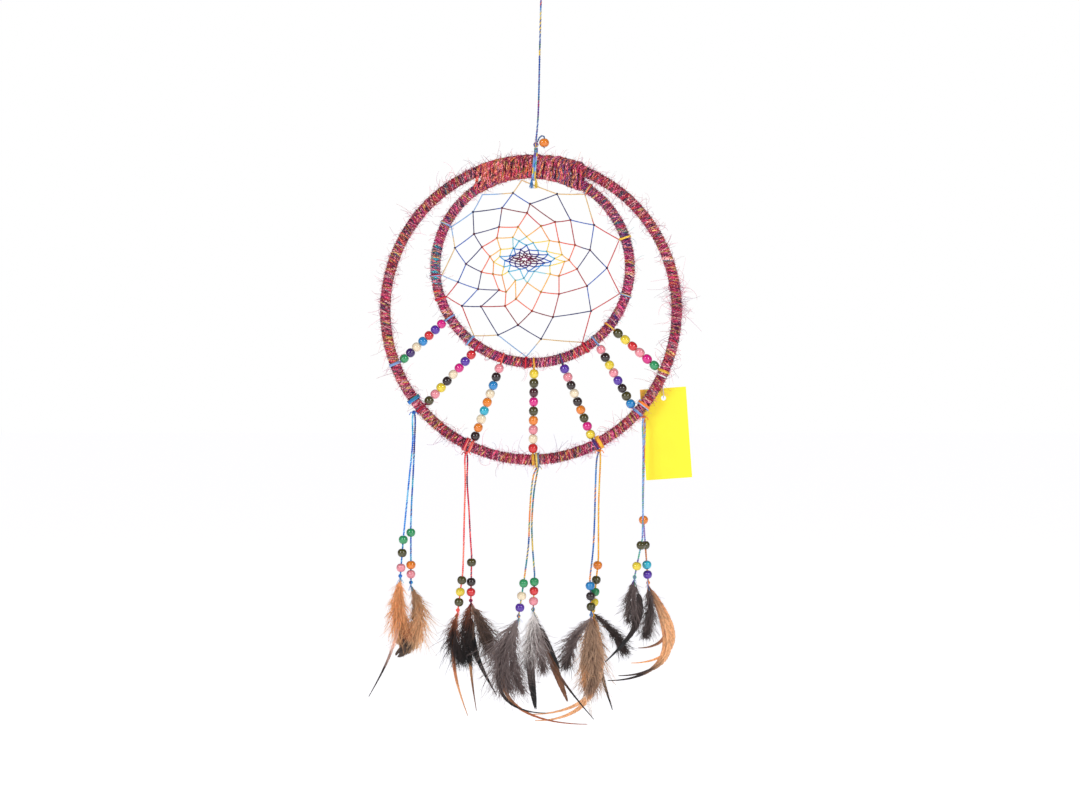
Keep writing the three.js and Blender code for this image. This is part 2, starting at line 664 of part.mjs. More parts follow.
add('hang_loop', hangLoop(), COLOURS.cord);
add('hang_cord', hangCord(), COLOURS.cord);
add('hang_knot', hangKnot(), COLOURS.cord);
add('hang_lashing', hangLashing(), COLOURS.cord);
add('hang_bead', hangBead(), COLOURS.bead, 0.3);
add('hang_bead_strand', beadStrand(), COLOURS.cord);
add('outer_hoop_cane', bentCane(outer), COLOURS.cane);
add('outer_hoop_wrap', wrapSleeve(outer), COLOURS.crimson);
add('inner_hoop_cane', bentCane(inner), COLOURS.cane);
add('inner_hoop_wrap', wrapSleeve(inner), COLOURS.magenta);
add('top_binding', topBinding(), COLOURS.olive);
add('web', web(), COLOURS.thread);

BEAD_THREADS.forEach((thread, i) => add(`bead_thread_${i + 1}`, beadThread(thread), STRING_COLOURS[i], 0.35));

PENDANTS.forEach((pendant, i) => {
  const name = `pendant_${i + 1}`;
  const foot = tieFoot(pendant.angle);
  add(`${name}_tie`, tie(pendant.angle), PENDANT_COLOURS[i]);
  pendant.strands.forEach((strand, j) => {
    const side = j ? 'right' : 'left';
    const pieces = strandPieces(pendant, j, strand, foot);
    add(`${name}_${side}_cord`, pieces.cord, PENDANT_COLOURS[i]);
    add(`${name}_${side}_beads`, pieces.beaded, COLOURS.bead, 0.35);
    add(`${name}_${side}_feathers`, pieces.feathers, COLOURS.feather);
  });
});

add('tag', tag(), COLOURS.tag, 0.6);
add('tag_loop', tagLoop(), COLOURS.white);
add('tag_thread', tagThread(), COLOURS.white);

export default group;
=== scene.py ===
import math

import bmesh
import bpy
import numpy as np
from mathutils import Matrix, Vector


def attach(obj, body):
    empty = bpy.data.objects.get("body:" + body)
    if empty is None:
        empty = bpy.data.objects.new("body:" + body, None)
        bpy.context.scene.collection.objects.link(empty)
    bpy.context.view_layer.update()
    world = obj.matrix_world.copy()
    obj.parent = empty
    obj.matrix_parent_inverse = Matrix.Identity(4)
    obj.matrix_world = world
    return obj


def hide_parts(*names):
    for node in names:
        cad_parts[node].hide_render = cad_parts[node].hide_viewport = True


# A dream catcher: two yarn-wrapped cane hoops, a woven web, threads of painted wooden beads
# between the hoops, and five beaded pendants that end in feathers. The frame is in metres and
# the sizes below are in millimetres.

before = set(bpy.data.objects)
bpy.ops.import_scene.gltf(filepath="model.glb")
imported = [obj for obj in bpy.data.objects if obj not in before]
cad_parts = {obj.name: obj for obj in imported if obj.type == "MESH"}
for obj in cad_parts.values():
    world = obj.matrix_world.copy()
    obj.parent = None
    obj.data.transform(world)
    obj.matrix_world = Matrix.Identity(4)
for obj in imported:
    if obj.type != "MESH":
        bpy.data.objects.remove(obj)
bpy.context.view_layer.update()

# ---- Camera, floor and light ----
# The dream catcher is seen straight on, hung in front of a white studio sweep. Two large
# softboxes stand in front, to its left and right, and the rest of the light is white and even.

EVEN_LIGHT = 0.22
SOFTBOX_SIZE = 0.75
SOFTBOX_POWER = 22
FLOOR_GLOW = 0.84
camera = bpy.data.objects.new("camera", bpy.data.cameras.new("camera"))
bpy.context.scene.collection.objects.link(camera)
camera.location = (-0.0008, -2.2, -0.3376)
camera.rotation_euler = (math.pi / 2, 0, 0)
camera.data.sensor_width = 36
camera.data.lens = 91.67
bpy.context.scene.camera = camera
bpy.context.scene.view_settings.view_transform = "Standard"

world = bpy.data.worlds.new("studio")
world.use_nodes = True
bpy.context.scene.world = world
even_light = world.node_tree.nodes["Background"]
even_light.inputs["Color"].default_value = (1, 1, 1, 1)
even_light.inputs["Strength"].default_value = EVEN_LIGHT
seen_white = world.node_tree.nodes.new("ShaderNodeBackground")
seen_white.inputs["Color"].default_value = (1, 1, 1, 1)
seen_white.inputs["Strength"].default_value = 1.0
ray = world.node_tree.nodes.new("ShaderNodeLightPath")
either = world.node_tree.nodes.new("ShaderNodeMixShader")
world.node_tree.links.new(ray.outputs["Is Camera Ray"], either.inputs[0])
world.node_tree.links.new(even_light.outputs[0], either.inputs[1])
world.node_tree.links.new(seen_white.outputs[0], either.inputs[2])
world.node_tree.links.new(either.outputs[0], world.node_tree.nodes["World Output"].inputs["Surface"])

for side in (-1, 1):
    softbox = bpy.data.objects.new("softbox", bpy.data.lights.new("softbox", "AREA"))
    bpy.context.scene.collection.objects.link(softbox)
    softbox.data.size = SOFTBOX_SIZE
    softbox.data.energy = SOFTBOX_POWER
    softbox.location = (side * 1.35, -1.7, 0.5)
    aim = Vector((0, 0, -0.3)) - softbox.location
    softbox.rotation_euler = aim.to_track_quat("-Z", "Y").to_euler()

FLOOR_HEIGHT = -0.72
floor_shape = bmesh.new()
bmesh.ops.create_grid(floor_shape, x_segments=1, y_segments=1, size=30)
bmesh.ops.translate(floor_shape, verts=floor_shape.verts, vec=(0, 0, FLOOR_HEIGHT))
floor_mesh = bpy.data.meshes.new("floor")
floor_shape.to_mesh(floor_mesh)
floor_shape.free()
floor = bpy.data.objects.new("floor", floor_mesh)
bpy.context.scene.collection.objects.link(floor)
pale = bpy.data.materials.new("pale_floor")
pale.use_nodes = True
pale_shader = pale.node_tree.nodes["Principled BSDF"]
pale_shader.inputs["Base Color"].default_value = (0.8, 0.8, 0.82, 1)
pale_shader.inputs["Roughness"].default_value = 0.9
pale_shader.inputs["Emission Color"].default_value = (0.97, 0.965, 1, 1)
pale_shader.inputs["Emission Strength"].default_value = FLOOR_GLOW
floor_mesh.materials.append(pale)

# ---- The hanging loop and cord ----
# Two strands of cotton thread, dyed in runs of blue, yellow, red, green and purple and twisted
# together. A loop at the top goes over a nail, and is closed by a knot.

MM = 0.001


def seen(red, green, blue):
    """A colour as it is seen, from 0 to 255, as the share of light that it reflects."""
    shares = (value / 255 for value in (red, green, blue))
    return tuple(s / 12.92 if s < 0.04 else ((s + 0.055) / 1.055) ** 2.4 for s in shares)


class Wire:
    """A value or colour on its way through the nodes of a finish."""

    def __init__(self, finish, socket):
        self.finish = finish
        self.socket = socket

    def maths(self, operation, first, second):
        return self.finish.node("ShaderNodeMath", {"operation": operation}, {0: first, 1: second})

    def __add__(self, other):
        return self.maths("ADD", self, other)

    def __radd__(self, other):
        return self.maths("ADD", other, self)

    def __mul__(self, other):
        return self.maths("MULTIPLY", self, other)

    def __rmul__(self, other):
        return self.maths("MULTIPLY", other, self)


class Finish:
    """A material: its even values by name, and the nodes that vary the others."""

    def __init__(self, name, **even):
        self.material = bpy.data.materials.new(name)
        self.material.use_nodes = True
        self.tree = self.material.node_tree
        self.shader = self.tree.nodes["Principled BSDF"]
        for socket, value in even.items():
            self.shader.inputs[socket.replace("_", " ")].default_value = value

    def node(self, kind, settings, sockets, out=0):
        node = self.tree.nodes.new(kind)
        for setting, value in settings.items():
            if setting == "stops":
                for spot, (place, tone) in zip(node.color_ramp.elements, value):
                    spot.position = place
                    spot.color = (*tone, 1)
            else:
                setattr(node, setting, value)
        for socket, value in sockets.items():
            self.feed(node.inputs[socket], value)
        return Wire(self, node.outputs[out])

    def feed(self, socket, value):
        if isinstance(value, Wire):
            self.tree.links.new(value.socket, socket)
        else:
            socket.default_value = value

    def vary(self, socket, value):
        self.feed(self.shader.inputs[socket], value)

    def own(self, attribute, out="Color"):
        return self.node("ShaderNodeAttribute", {"attribute_name": attribute}, {}, out)

    def place(self):
        return self.node("ShaderNodeTexCoord", {}, {}, "Object")

    def noise(self, where, scale, detail=2.0, stretch=(1, 1, 1)):
        fitted = self.node("ShaderNodeMapping", {}, {"Vector": where, "Scale": stretch})
        sockets = {"Vector": fitted, "Scale": scale, "Detail": detail}
        return self.node("ShaderNodeTexNoise", {}, sockets)

    def mix(self, share, low, high, how="MIX"):
        settings = {"data_type": "RGBA", "blend_type": how}
        return self.node("ShaderNodeMix", settings, {0: share, 6: low, 7: high}, 2)

    def bump(self, height, distance, strength=1.0):
        sockets = {"Height": height, "Distance": distance, "Strength": strength}
        self.vary("Normal", self.node("ShaderNodeBump", {}, sockets))


def spun_fibre(name, light=1.25, dark=0.6, roughness=0.85, sheen=0.08, fleck_and_painted_light=0.0):
    """A finish for thread: its own colours, with fine lengthwise fibres in light and dark.

    The last argument is how strongly pale and dark specks show in it, from 0 to 1. The pale specks are
    partly pale fibres and partly painted highlight; the dark ones are partly dark fibres and partly
    painted shade in the gaps between fibres.
    """
    finish = Finish(name, Roughness=roughness, Sheen_Weight=sheen, Sheen_Roughness=0.4)
    lay = finish.own("lay", "Vector")
    fibres = finish.noise(lay, 5200, 2.0, (0.12, 1, 1))
    patches = finish.noise(finish.place(), 420, 2.0)
    tone = finish.own("tone")
    shade = finish.mix(fibres, (dark, dark, dark, 1), (light, light, light, 1))
    worn = finish.mix(patches, (0.85, 0.85, 0.85, 1), (1.12, 1.12, 1.12, 1))
    coloured = finish.mix(1.0, finish.mix(1.0, tone, shade, "MULTIPLY"), worn, "MULTIPLY")
    if fleck_and_painted_light:
        # Tiny specks: the pale ones are partly pale fibres and partly painted highlight, the dark ones
        # partly dark fibres and partly painted shade between the fibres.
        specks = finish.noise(finish.place(), 1150, 1.0)
        pale_fleck_and_highlight_stops = [(0.63, (0, 0, 0)), (0.7, (1, 1, 1))]
        dark_fleck_and_gap_shade_stops = [(0.38, (1, 1, 1)), (0.46, (0, 0, 0))]
        pale = finish.node("ShaderNodeValToRGB", {"stops": pale_fleck_and_highlight_stops}, {"Fac": specks})
        dark_fleck_and_gap_shade = finish.node("ShaderNodeValToRGB", {"stops": dark_fleck_and_gap_shade_stops}, {"Fac": specks})
        coloured = finish.mix(pale * fleck_and_painted_light, coloured, (*seen(250, 190, 186), 1))
        coloured = finish.mix(dark_fleck_and_gap_shade * fleck_and_painted_light, coloured, (*seen(40, 0, 26), 1))
    finish.vary("Base Color", coloured)
    finish.bump(fibres, 0.12 * MM, 0.7)
    return finish


def run_along(line):
    """How far along a line each of its points lies."""
    steps = np.linalg.norm(np.diff(line, axis=0), axis=1)
    return np.concatenate([[0], np.cumsum(steps)])


def evened(line, run, count):
    """So many evenly spaced points of a line, and how far along it they lie."""
    even = np.linspace(0, run[-1], count)
    return np.column_stack([np.interp(even, run, line[:, axis]) for axis in range(3)]), even


def smooth_line(points, spacing):
    """Evenly spaced points along the smooth curve through a few, in millimetres."""
    knots = np.array(points, float)
    knots = np.vstack([2 * knots[0] - knots[1], knots, 2 * knots[-1] - knots[-2]])
    gaps = np.sqrt(np.linalg.norm(np.diff(knots, axis=0), axis=1))
    dense = []
    for i in range(1, len(knots) - 2):
        before, start, end, after = knots[i - 1:i + 3]
        g0, g1, g2 = gaps[i - 1:i + 2]
        out = ((start - before) / g0 - (end - before) / (g0 + g1) + (end - start) / g1) * g1
        into = ((end - start) / g1 - (after - start) / (g1 + g2) + (after - end) / g2) * g1
        t = np.linspace(0, 1, 24, endpoint=False)[:, None]
        dense.append(start + out * t + (3 * (end - start) - 2 * out - into) * t ** 2
                     + (2 * (start - end) + out + into) * t ** 3)
    dense = np.vstack([*dense, knots[-2:-1]])
    run = run_along(dense)
    return evened(dense, run, max(2, int(round(run[-1] / spacing)) + 1))[0]


def ways(line):
    """The way that a line runs at each of its points."""
    way = np.gradient(np.asarray(line, float), axis=0)
    return way / np.linalg.norm(way, axis=1)[:, None]


def wound(line, radius, turn):
    """A line wound round another at a radius, by an angle given at each of its points."""
    way = ways(line)
    across = np.empty_like(way)
    side = np.cross(way[0], (0, 1, 0)) if abs(way[0][1]) < 0.9 else np.cross(way[0], (1, 0, 0))
    for i, ahead in enumerate(way):
        side = side - ahead * side.dot(ahead)
        side /= np.linalg.norm(side)
        across[i] = side
    over = np.cross(way, across)
    reach = np.broadcast_to(radius, len(line))[:, None]
    return line + reach * (np.cos(turn)[:, None] * across + np.sin(turn)[:, None] * over)


def dyed(rng, count, palette, run):
    """Colours along a thread that was dyed in runs of about so many points."""
    picks = []
    while len(picks) < count:
        tone = palette[rng.integers(len(palette))]
        picks += [tone] * max(1, int(run * rng.uniform(0.5, 1.6)))
    tones = np.pad(np.array(picks[:count], float), ((1, 1), (0, 0)), "edge")
    return (tones[:-2] + tones[1:-1] + tones[2:]) / 3


# Millimetres along a strand for each radian that its fibres turn.
LAY_TWIST = 1.5


def strands(name, lines, radii, tones, sides=6):
    """Round strands, one along each line, as one mesh that carries their colours."""
    data = bpy.data.curves.new(name, "CURVE")
    data.dimensions = "3D"
    data.bevel_depth = 1
    data.bevel_resolution = (sides - 4) // 2
    thick = [np.broadcast_to(radius, len(line)).astype(float) for line, radius in zip(lines, radii)]
    for line, radius in zip(lines, thick):
        spline = data.splines.new("POLY")
        spline.points.add(len(line) - 1)
        spline.points.foreach_set("co", np.column_stack([line, np.ones(len(line))]).ravel())
        spline.points.foreach_set("radius", radius)
    source = bpy.data.objects.new(name + "_line", data)
    mesh = bpy.data.meshes.new_from_object(source)
    bpy.data.objects.remove(source)
    bpy.data.curves.remove(data)
    mesh.transform(Matrix.Scale(MM, 4))
    shape = bmesh.new()
    shape.from_mesh(mesh)
    rims = [edge for edge in shape.edges if edge.is_boundary]
    bmesh.ops.holes_fill(shape, edges=rims, sides=0)
    bmesh.ops.recalc_face_normals(shape, faces=shape.faces)
    shape.to_mesh(mesh)
    shape.free()
    mesh.name = name
    shades = []
    lays = []
    ring = np.arange(sides) * 2 * math.pi / sides
    for line, radius, tone in zip(lines, thick, tones):
        shade = np.ones((len(line), 4))
        shade[:, :3] = tone
        shades.append(np.repeat(shade, sides, axis=0))
        along = run_along(line)[:, None]
        turn = ring[None, :] + along / LAY_TWIST
        wide = radius[:, None]
        lay = np.stack([np.broadcast_to(along, turn.shape), wide * np.cos(turn), wide * np.sin(turn)], 2)
        lays.append(lay.reshape(-1, 3) * MM)
    mesh.color_attributes.new("tone", "FLOAT_COLOR", "POINT").data.foreach_set(
        "color", np.concatenate(shades).astype(np.float32).ravel())
    mesh.attributes.new("lay", "FLOAT_VECTOR", "POINT").data.foreach_set(
        "vector", np.concatenate(lays).astype(np.float32).ravel())
    mesh.shade_smooth()
    return mesh


def piece(mesh, finish, body, slot, *nodes):
    """A mesh as a finished piece: its material, its body and what it stands for. The slot is not used."""
    obj = bpy.data.objects.new(mesh.name, mesh)
    bpy.context.scene.collection.objects.link(obj)
    mesh.materials.append(finish.material)
    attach(obj, body)
    if nodes:
        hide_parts(*nodes)
    return obj


PLIES = 2


def plied(rng, name, line, radius, palette, pitch=4.0, run=8):
    """A twisted cord along a line: its plies, each dyed in its own runs of colour."""
    along = run_along(line)
    turns = [along * 2 * math.pi / pitch + ply * 2 * math.pi / PLIES for ply in range(PLIES)]
    lines = [wound(line, radius * 0.47, turn) for turn in turns]
    tones = [dyed(rng, len(line), palette, run) for _ in lines]
    return strands(name, lines, [radius * 0.56] * PLIES, tones)


def knot_lines(rng, middle, size, thread, turns=4):
    """A ball of thread wound on itself every way round, as in a tight knot."""
    t = np.linspace(0, 2 * math.pi * turns, turns * 12)
    tilt = t / turns * 1.7 + rng.uniform(0, 6)
    ball = np.column_stack([
        np.cos(t) * np.cos(tilt), np.cos(t) * np.sin(tilt), np.sin(t)])
    reach = (size - thread) * (1 + 0.05 * np.sin(3.1 * t))
    return np.array(middle) + ball * reach[:, None]


VARIEGATED = [
    seen(38, 78, 158), seen(60, 120, 180), seen(225, 190, 60), seen(190, 48, 60),
    seen(40, 120, 90), seen(96, 60, 140), seen(70, 86, 150), seen(150, 170, 190),
]
cotton = spun_fibre("variegated_cotton")
rng = np.random.default_rng(11)

CORD_RADIUS = 0.8
loop_line = smooth_line([
    (-0.2, 0, -15), (-5, 0, -6.75), (-3, 0, 0.16), (0, 0, 0.8), (3, 0, 0.16), (5, 0, -6.75), (0.2, 0, -15),
], 0.45)
loop_mesh = plied(rng, "hang_loop_cord", loop_line, CORD_RADIUS, VARIEGATED)
piece(loop_mesh, cotton, "hanger", "variegated_cord", "hang_loop")
loop_knot = knot_lines(rng, (0, 0, -15), 1.9, 0.55)
loop_knot_mesh = strands("hang_loop_knot", [loop_knot], [0.55], [dyed(rng, len(loop_knot), VARIEGATED, 9)])
piece(loop_knot_mesh, cotton, "hanger", "variegated_cord")

KNOT_TOP = (-4, 0, -133.4)
KNOT_SIZE = 2.2
cord_line = smooth_line([
    (0, 0, -17.3), (-1, 0, -58), (-2.4, 0, -112), (-4, 0, KNOT_TOP[2] + KNOT_SIZE + 0.3),
], 0.5)
cord_mesh = plied(rng, "hanging_cord", cord_line, CORD_RADIUS, VARIEGATED, run=14)
hanging_cord = piece(cord_mesh, cotton, "hang_line", "variegated_cord", "hang_cord")

# ---- The pendants' cords ----
# Each pendant hangs on two doubled threads of one dye lot, from a tie round the outer hoop. They
# run down side by side through the beads and end in a knot that holds the feathers.

OUTER = {"x": -8, "z": -266, "wide": 116.6, "high": 119.4, "wrap": 4.2}
INNER = {"x": -6.7, "z": -231.5, "wide": 77.8, "high": 76.4, "wrap": 4.0}
RING_CLEAR = 0.45
TIE_THICKNESS = 1
STRAND_RADIUS = 0.8
BEAD_LENGTH = 6.6
KNOT_RADIUS = 1.7


def on_hoop(hoop, angle):
    """Points on the middle of a hoop's cane, by angle in degrees."""
    turn = np.radians(np.atleast_1d(angle).astype(float))
    return np.column_stack([
        hoop["x"] + hoop["wide"] * np.cos(turn), 0 * turn, hoop["z"] + hoop["high"] * np.sin(turn)])


def along_hoop(hoop, angle):
    """The way that a hoop's cane runs at an angle."""
    turn = math.radians(angle)
    way = np.array([-hoop["wide"] * math.sin(turn), 0, hoop["high"] * math.cos(turn)])
    return way / np.linalg.norm(way)


def tie_foot(angle):
    """The lowest point of a tie round the outer hoop."""
    reach = (OUTER["wrap"] + RING_CLEAR) / math.cos(math.pi / 12) + TIE_THICKNESS + 0.3
    drop = (reach + 0.6) / abs(along_hoop(OUTER, angle)[0])
    return on_hoop(OUTER, angle)[0] - (0, 0, drop)


# Each pendant: its angle round the hoop, how far back it hangs and how far apart its two cords are
# in depth. Each cord: its route from the tie's foot, its end, and the bare cord above each bead.
PENDANT_CORDS = [
    (216.5, 0, 4, [
        ([(-1, -5), (-0.8, -22), (-3.7, -52.5), (-6, -76.3), (-7.9, -95.4)],
         (-10.9, -131.4), [1.8, 4, 5.3]),
        ([(1, -5), (0.5, -22), (-0.7, -49.5), (-1.9, -71.9), (-2.5, -89.9)],
         (-2.4, -136.9), [1.8, 19.3, 0.8]),
    ]),
    (243.6, 0, 4, [
        ([(-1, -5), (-0.7, -22), (-1.5, -52.4), (-2, -76.3), (-2.7, -95.3)],
         (-6.8, -126.8), [2.3, 2.8, 1.7]),
        ([(1, -5), (0.7, -22), (2.2, -45), (3.2, -65.5), (4.3, -81.8)], (3.6, -119.3), [1.8, 9, 1.6]),
    ]),
    (272.5, -6, 4, [
        ([(-2.8, -5), (-5, -20), (-6.4, -44), (-7, -60), (-10.2, -86.5)],
         (-15.2, -119.5), [1.7, 3.6, 2.8]),
        ([(-0.4, -5), (-2.8, -20), (-4.4, -44), (-4, -60), (-2.2, -85)],
         (-3.4, -114.5), [2.2, 0.7, 1.6]),
    ]),
    (298, 6, 7.6, [
        ([(-2, -5), (-3.2, -28), (-3.8, -52), (-5, -78), (-7.6, -101.5)],
         (-6.4, -132.3), [2.3, 1.7, 1.8]),
        ([(0.8, -5), (-0.4, -40), (-0.6, -85.5)], (-4.9, -129.5), [2.3, 5.2, 3.1, 1.7]),
    ]),
    (320.7, -4, 7.6, [
        ([(-1, -5), (-0.6, -22), (-1, -52.6), (-1, -76.4), (-1.4, -95.6)], (-8, -128.1), [2, 10.3]),
        ([(1, -5), (0.6, -22), (0.1, -41.6), (-0.5, -60.4), (-0.7, -75.6)],
         (3.6, -133.1), [2, 13.6, 9.2, 1.2]),
    ]),
]
BLUES = [seen(30, 104, 206), seen(60, 150, 224), seen(24, 84, 180), seen(110, 190, 230), seen(40, 170, 190)]
VIOLETS = [seen(70, 50, 130), seen(30, 60, 150), seen(50, 40, 100)]
CORALS = [seen(240, 84, 76), seen(246, 124, 100), seen(230, 60, 66), seen(250, 150, 130)]
CRIMSONS = [seen(214, 40, 76), seen(240, 96, 96), seen(176, 24, 70), seen(110, 20, 70)]
MIXED = [seen(70, 130, 160), seen(226, 130, 60), seen(40, 90, 160), seen(220, 190, 90), seen(50, 140, 130)]
BLUE_ORANGE = [seen(40, 90, 170), seen(226, 140, 50), seen(120, 110, 110), seen(60, 130, 190)]
GOLDS = [seen(240, 176, 40), seen(232, 150, 40), seen(238, 196, 70)]
SKIES = [seen(140, 180, 225), seen(110, 150, 210), seen(90, 170, 140), seen(120, 90, 170)]
SKY_ORANGE = [seen(220, 140, 80), seen(130, 170, 220), seen(150, 120, 180), seen(196, 120, 70)]
CORD_DYES = [(BLUES, VIOLETS + BLUES), (CORALS, CRIMSONS), (MIXED, MIXED), (BLUE_ORANGE, GOLDS),
             (SKIES, SKY_ORANGE)]
CORD_SLOTS = ["blue_cord", "coral_cord", "teal_cord", "orange_cord", "light_blue_cord"]

pendant_thread = spun_fibre("pendant_thread", 1.35, 0.6)
hung = []
for number, (angle, back, apart, pair) in enumerate(PENDANT_CORDS, 1):
    foot = tie_foot(angle)
    for index, (route, end, gaps) in enumerate(pair):
        side = ("left", "right")[index]
        depth = apart * (index - 0.5)
        near = 2 * math.copysign(1, depth)
        bottom = route[-1][1]
        points = [foot + ((-0.6, 0.6)[index], near, 0)]
        for x, z in route:
            eased = min(1, 1.4 * z / bottom)
            points.append(foot + (x, back * eased + near + (depth - near) * eased, z))
        hung_end = foot + (end[0], back + depth, end[1])
        down = (hung_end - points[-1]) / np.linalg.norm(hung_end - points[-1])
        beaded_top = points[-1] + down * 0.35
        middles = [sum(gaps[:i + 1]) + (i + 0.5) * BEAD_LENGTH for i in range(len(gaps))]
        lowest = middles[-1] + BEAD_LENGTH / 2 + KNOT_RADIUS * 2.6
        knot_end = beaded_top + down * max(np.linalg.norm(hung_end - beaded_top), lowest)
        line = np.vstack([
            smooth_line(points, 0.6),
            smooth_line([beaded_top, knot_end - down * KNOT_RADIUS * 1.3], 0.6)])
        mesh = plied(rng, f"pendant_{number}_{side}_thread", line, STRAND_RADIUS,
                     CORD_DYES[number - 1][index], pitch=3.4, run=10)
        hung.append({
            "number": number, "side": side, "line": line, "top": beaded_top, "down": down,
            "middles": middles, "knot": knot_end - down * KNOT_RADIUS, "quill": knot_end - (0, 0, 0.35),
            "cord": piece(mesh, pendant_thread, f"pendant_{number}", CORD_SLOTS[number - 1],
                          f"pendant_{number}_{side}_cord"),
        })

# ---- The knot over the hoops, its lashing, and the orange bead ----
# The hanging cord is knotted over the top binding, passes once round both hoops, and is cut off
# short in front. A strand of it goes up from the knot and down through an orange wooden bead.

hang_knot = knot_lines(rng, KNOT_TOP, KNOT_SIZE, 0.6, 6)
knot_tones = dyed(rng, len(hang_knot), VARIEGATED + GOLDS, 8)
piece(strands("hang_knot_thread", [hang_knot], [0.6], [knot_tones]), cotton, "knot", "variegated_cord",
      "hang_knot")

BEAD_SPOT = (KNOT_TOP[0] + KNOT_SIZE + 0.4 + 3.9, 0, KNOT_TOP[2] + 1.5)
bead_strand = smooth_line([
    (KNOT_TOP[0] + 1.2, 0, KNOT_TOP[2] + 2.2), (BEAD_SPOT[0] - 3.9, 0, BEAD_SPOT[2] + 3.9),
    (BEAD_SPOT[0] - 1.6, 0, BEAD_SPOT[2] + 5.6), (BEAD_SPOT[0], 0, BEAD_SPOT[2] + 4.8),
    (BEAD_SPOT[0], 0, BEAD_SPOT[2]), (BEAD_SPOT[0], 0, BEAD_SPOT[2] - 4.3),
], 0.5)
piece(plied(rng, "hang_bead_thread", bead_strand, 0.7, [seen(110, 130, 165), seen(80, 105, 150)]),
      cotton, "knot", "variegated_cord", "hang_bead_strand")

HOOP_FACE = OUTER["wrap"] + 3.0
lash_lines = []
for side in (-1, 1):
    for shift in (-1.0, 0, 1.0):
        lash_lines.append(smooth_line([
            (KNOT_TOP[0] + shift, side * -0.4, KNOT_TOP[2] - 2.6),
            (KNOT_TOP[0] + shift, side * 3.2, -139.0),
            (KNOT_TOP[0] - 0.6 + shift, side * HOOP_FACE, -144.0),
            (KNOT_TOP[0] - 1.8 + shift, side * HOOP_FACE, -158.3),
            (KNOT_TOP[0] - 2 + shift, side * 3.4, -161.1), (KNOT_TOP[0] - 2 + shift, side * -0.2, -161.8),
        ], 0.5))
lash_tones = [dyed(rng, len(line), SKIES + VARIEGATED[1:3], 7) for line in lash_lines]
CUT_ENDS = 26
cut_ends = []
for end in range(CUT_ENDS):
    lean = rng.normal(0, 1, 2)
    top = np.array((KNOT_TOP[0] - 3.4 + 3.2 * (end % 2), -3.2, -161.2))
    cut_ends.append(smooth_line([
        top + rng.normal(0, 0.3, 3), top + (lean[0] * 0.5, lean[1] * 0.4, -3),
        top + (lean[0] * 0.9, lean[1] * 0.8, -6.4 - rng.uniform(0, 1.3))], 0.8))
end_tones = [VARIEGATED[2] if end % 2 else VARIEGATED[1] for end in range(len(cut_ends))]
lash_radii = [0.56] * len(lash_lines) + [0.24] * len(cut_ends)
lash_mesh = strands("hang_lashing_thread", lash_lines + cut_ends, lash_radii, lash_tones + end_tones)
piece(lash_mesh, cotton, "hoops", "variegated_cord", "hang_lashing")

PAINTED = {
    "magenta": seen(226, 18, 138), "purple": seen(88, 42, 172), "red": seen(222, 38, 44),
    "blue": seen(22, 138, 208), "cyan": seen(36, 186, 214), "cream": seen(250, 234, 200),
    "dark_purple": seen(58, 20, 108), "green": seen(40, 160, 98), "black": seen(34, 10, 12),
    "yellow": seen(246, 222, 58), "pink": seen(242, 150, 162), "olive": seen(70, 66, 12),
    "orange": seen(246, 138, 30), "maroon": seen(72, 10, 30),
}


# How far from a bead's waist its flat ends begin, in degrees.
BEAD_EDGE = 66


def turned_bead(radius, half, bore):
    """A wooden bead turned about its bore, which runs up and down."""
    outline = []
    for step in range(9):
        tilt = math.radians(-BEAD_EDGE + BEAD_EDGE / 4 * step)
        height = half * math.sin(tilt) / math.sin(math.radians(BEAD_EDGE))
        outline.append((radius * math.cos(tilt) ** 0.85, height))
    outline += [(bore, half * 0.93), (bore, -half * 0.93)]
    shape = bmesh.new()
    rim = [shape.verts.new((x, 0, z)) for x, z in outline]
    edges = [shape.edges.new((a, b)) for a, b in zip(rim, rim[1:] + rim[:1])]
    bmesh.ops.spin(shape, geom=rim + edges, cent=(0, 0, 0), axis=(0, 0, 1), angle=2 * math.pi,
                   steps=20, use_merge=True, use_duplicate=False)
    bmesh.ops.recalc_face_normals(shape, faces=shape.faces)
    mesh = bpy.data.meshes.new("bead")
    shape.to_mesh(mesh)
    shape.free()
    return mesh


def bead_row(name, pattern, spots, way, tones, rng):
    """Copies of a bead along a thread, each a little different, as one mesh."""
    shape = bmesh.new()
    turn = Vector((0, 0, 1)).rotation_difference(Vector(way))
    for spot in spots:
        before = len(shape.verts)
        shape.from_mesh(pattern)
        shape.verts.ensure_lookup_table()
        new = shape.verts[before:]
        nod = Matrix.Rotation(rng.normal(0, 0.035), 4, (1, 0, 0))
        roll = Matrix.Rotation(rng.normal(0, 0.035), 4, (0, 1, 0))
        size = Matrix.Diagonal((*(1 + rng.normal(0, 0.02, 2)), 1, 1))
        bmesh.ops.transform(shape, matrix=turn.to_matrix().to_4x4() @ (nod @ roll) @ size, verts=new)
        bmesh.ops.translate(shape, vec=spot, verts=new)
    mesh = bpy.data.meshes.new(name)
    shape.to_mesh(mesh)
    shape.free()
    each = len(pattern.vertices)
    shades = np.ones((len(spots) * each, 4), np.float32)
    shades[:, :3] = np.repeat(np.array(tones), each, axis=0)
    mesh.color_attributes.new("tone", "FLOAT_COLOR", "POINT").data.foreach_set("color", shades.ravel())
    mesh.transform(Matrix.Scale(MM, 4))
    mesh.shade_smooth()
    return mesh


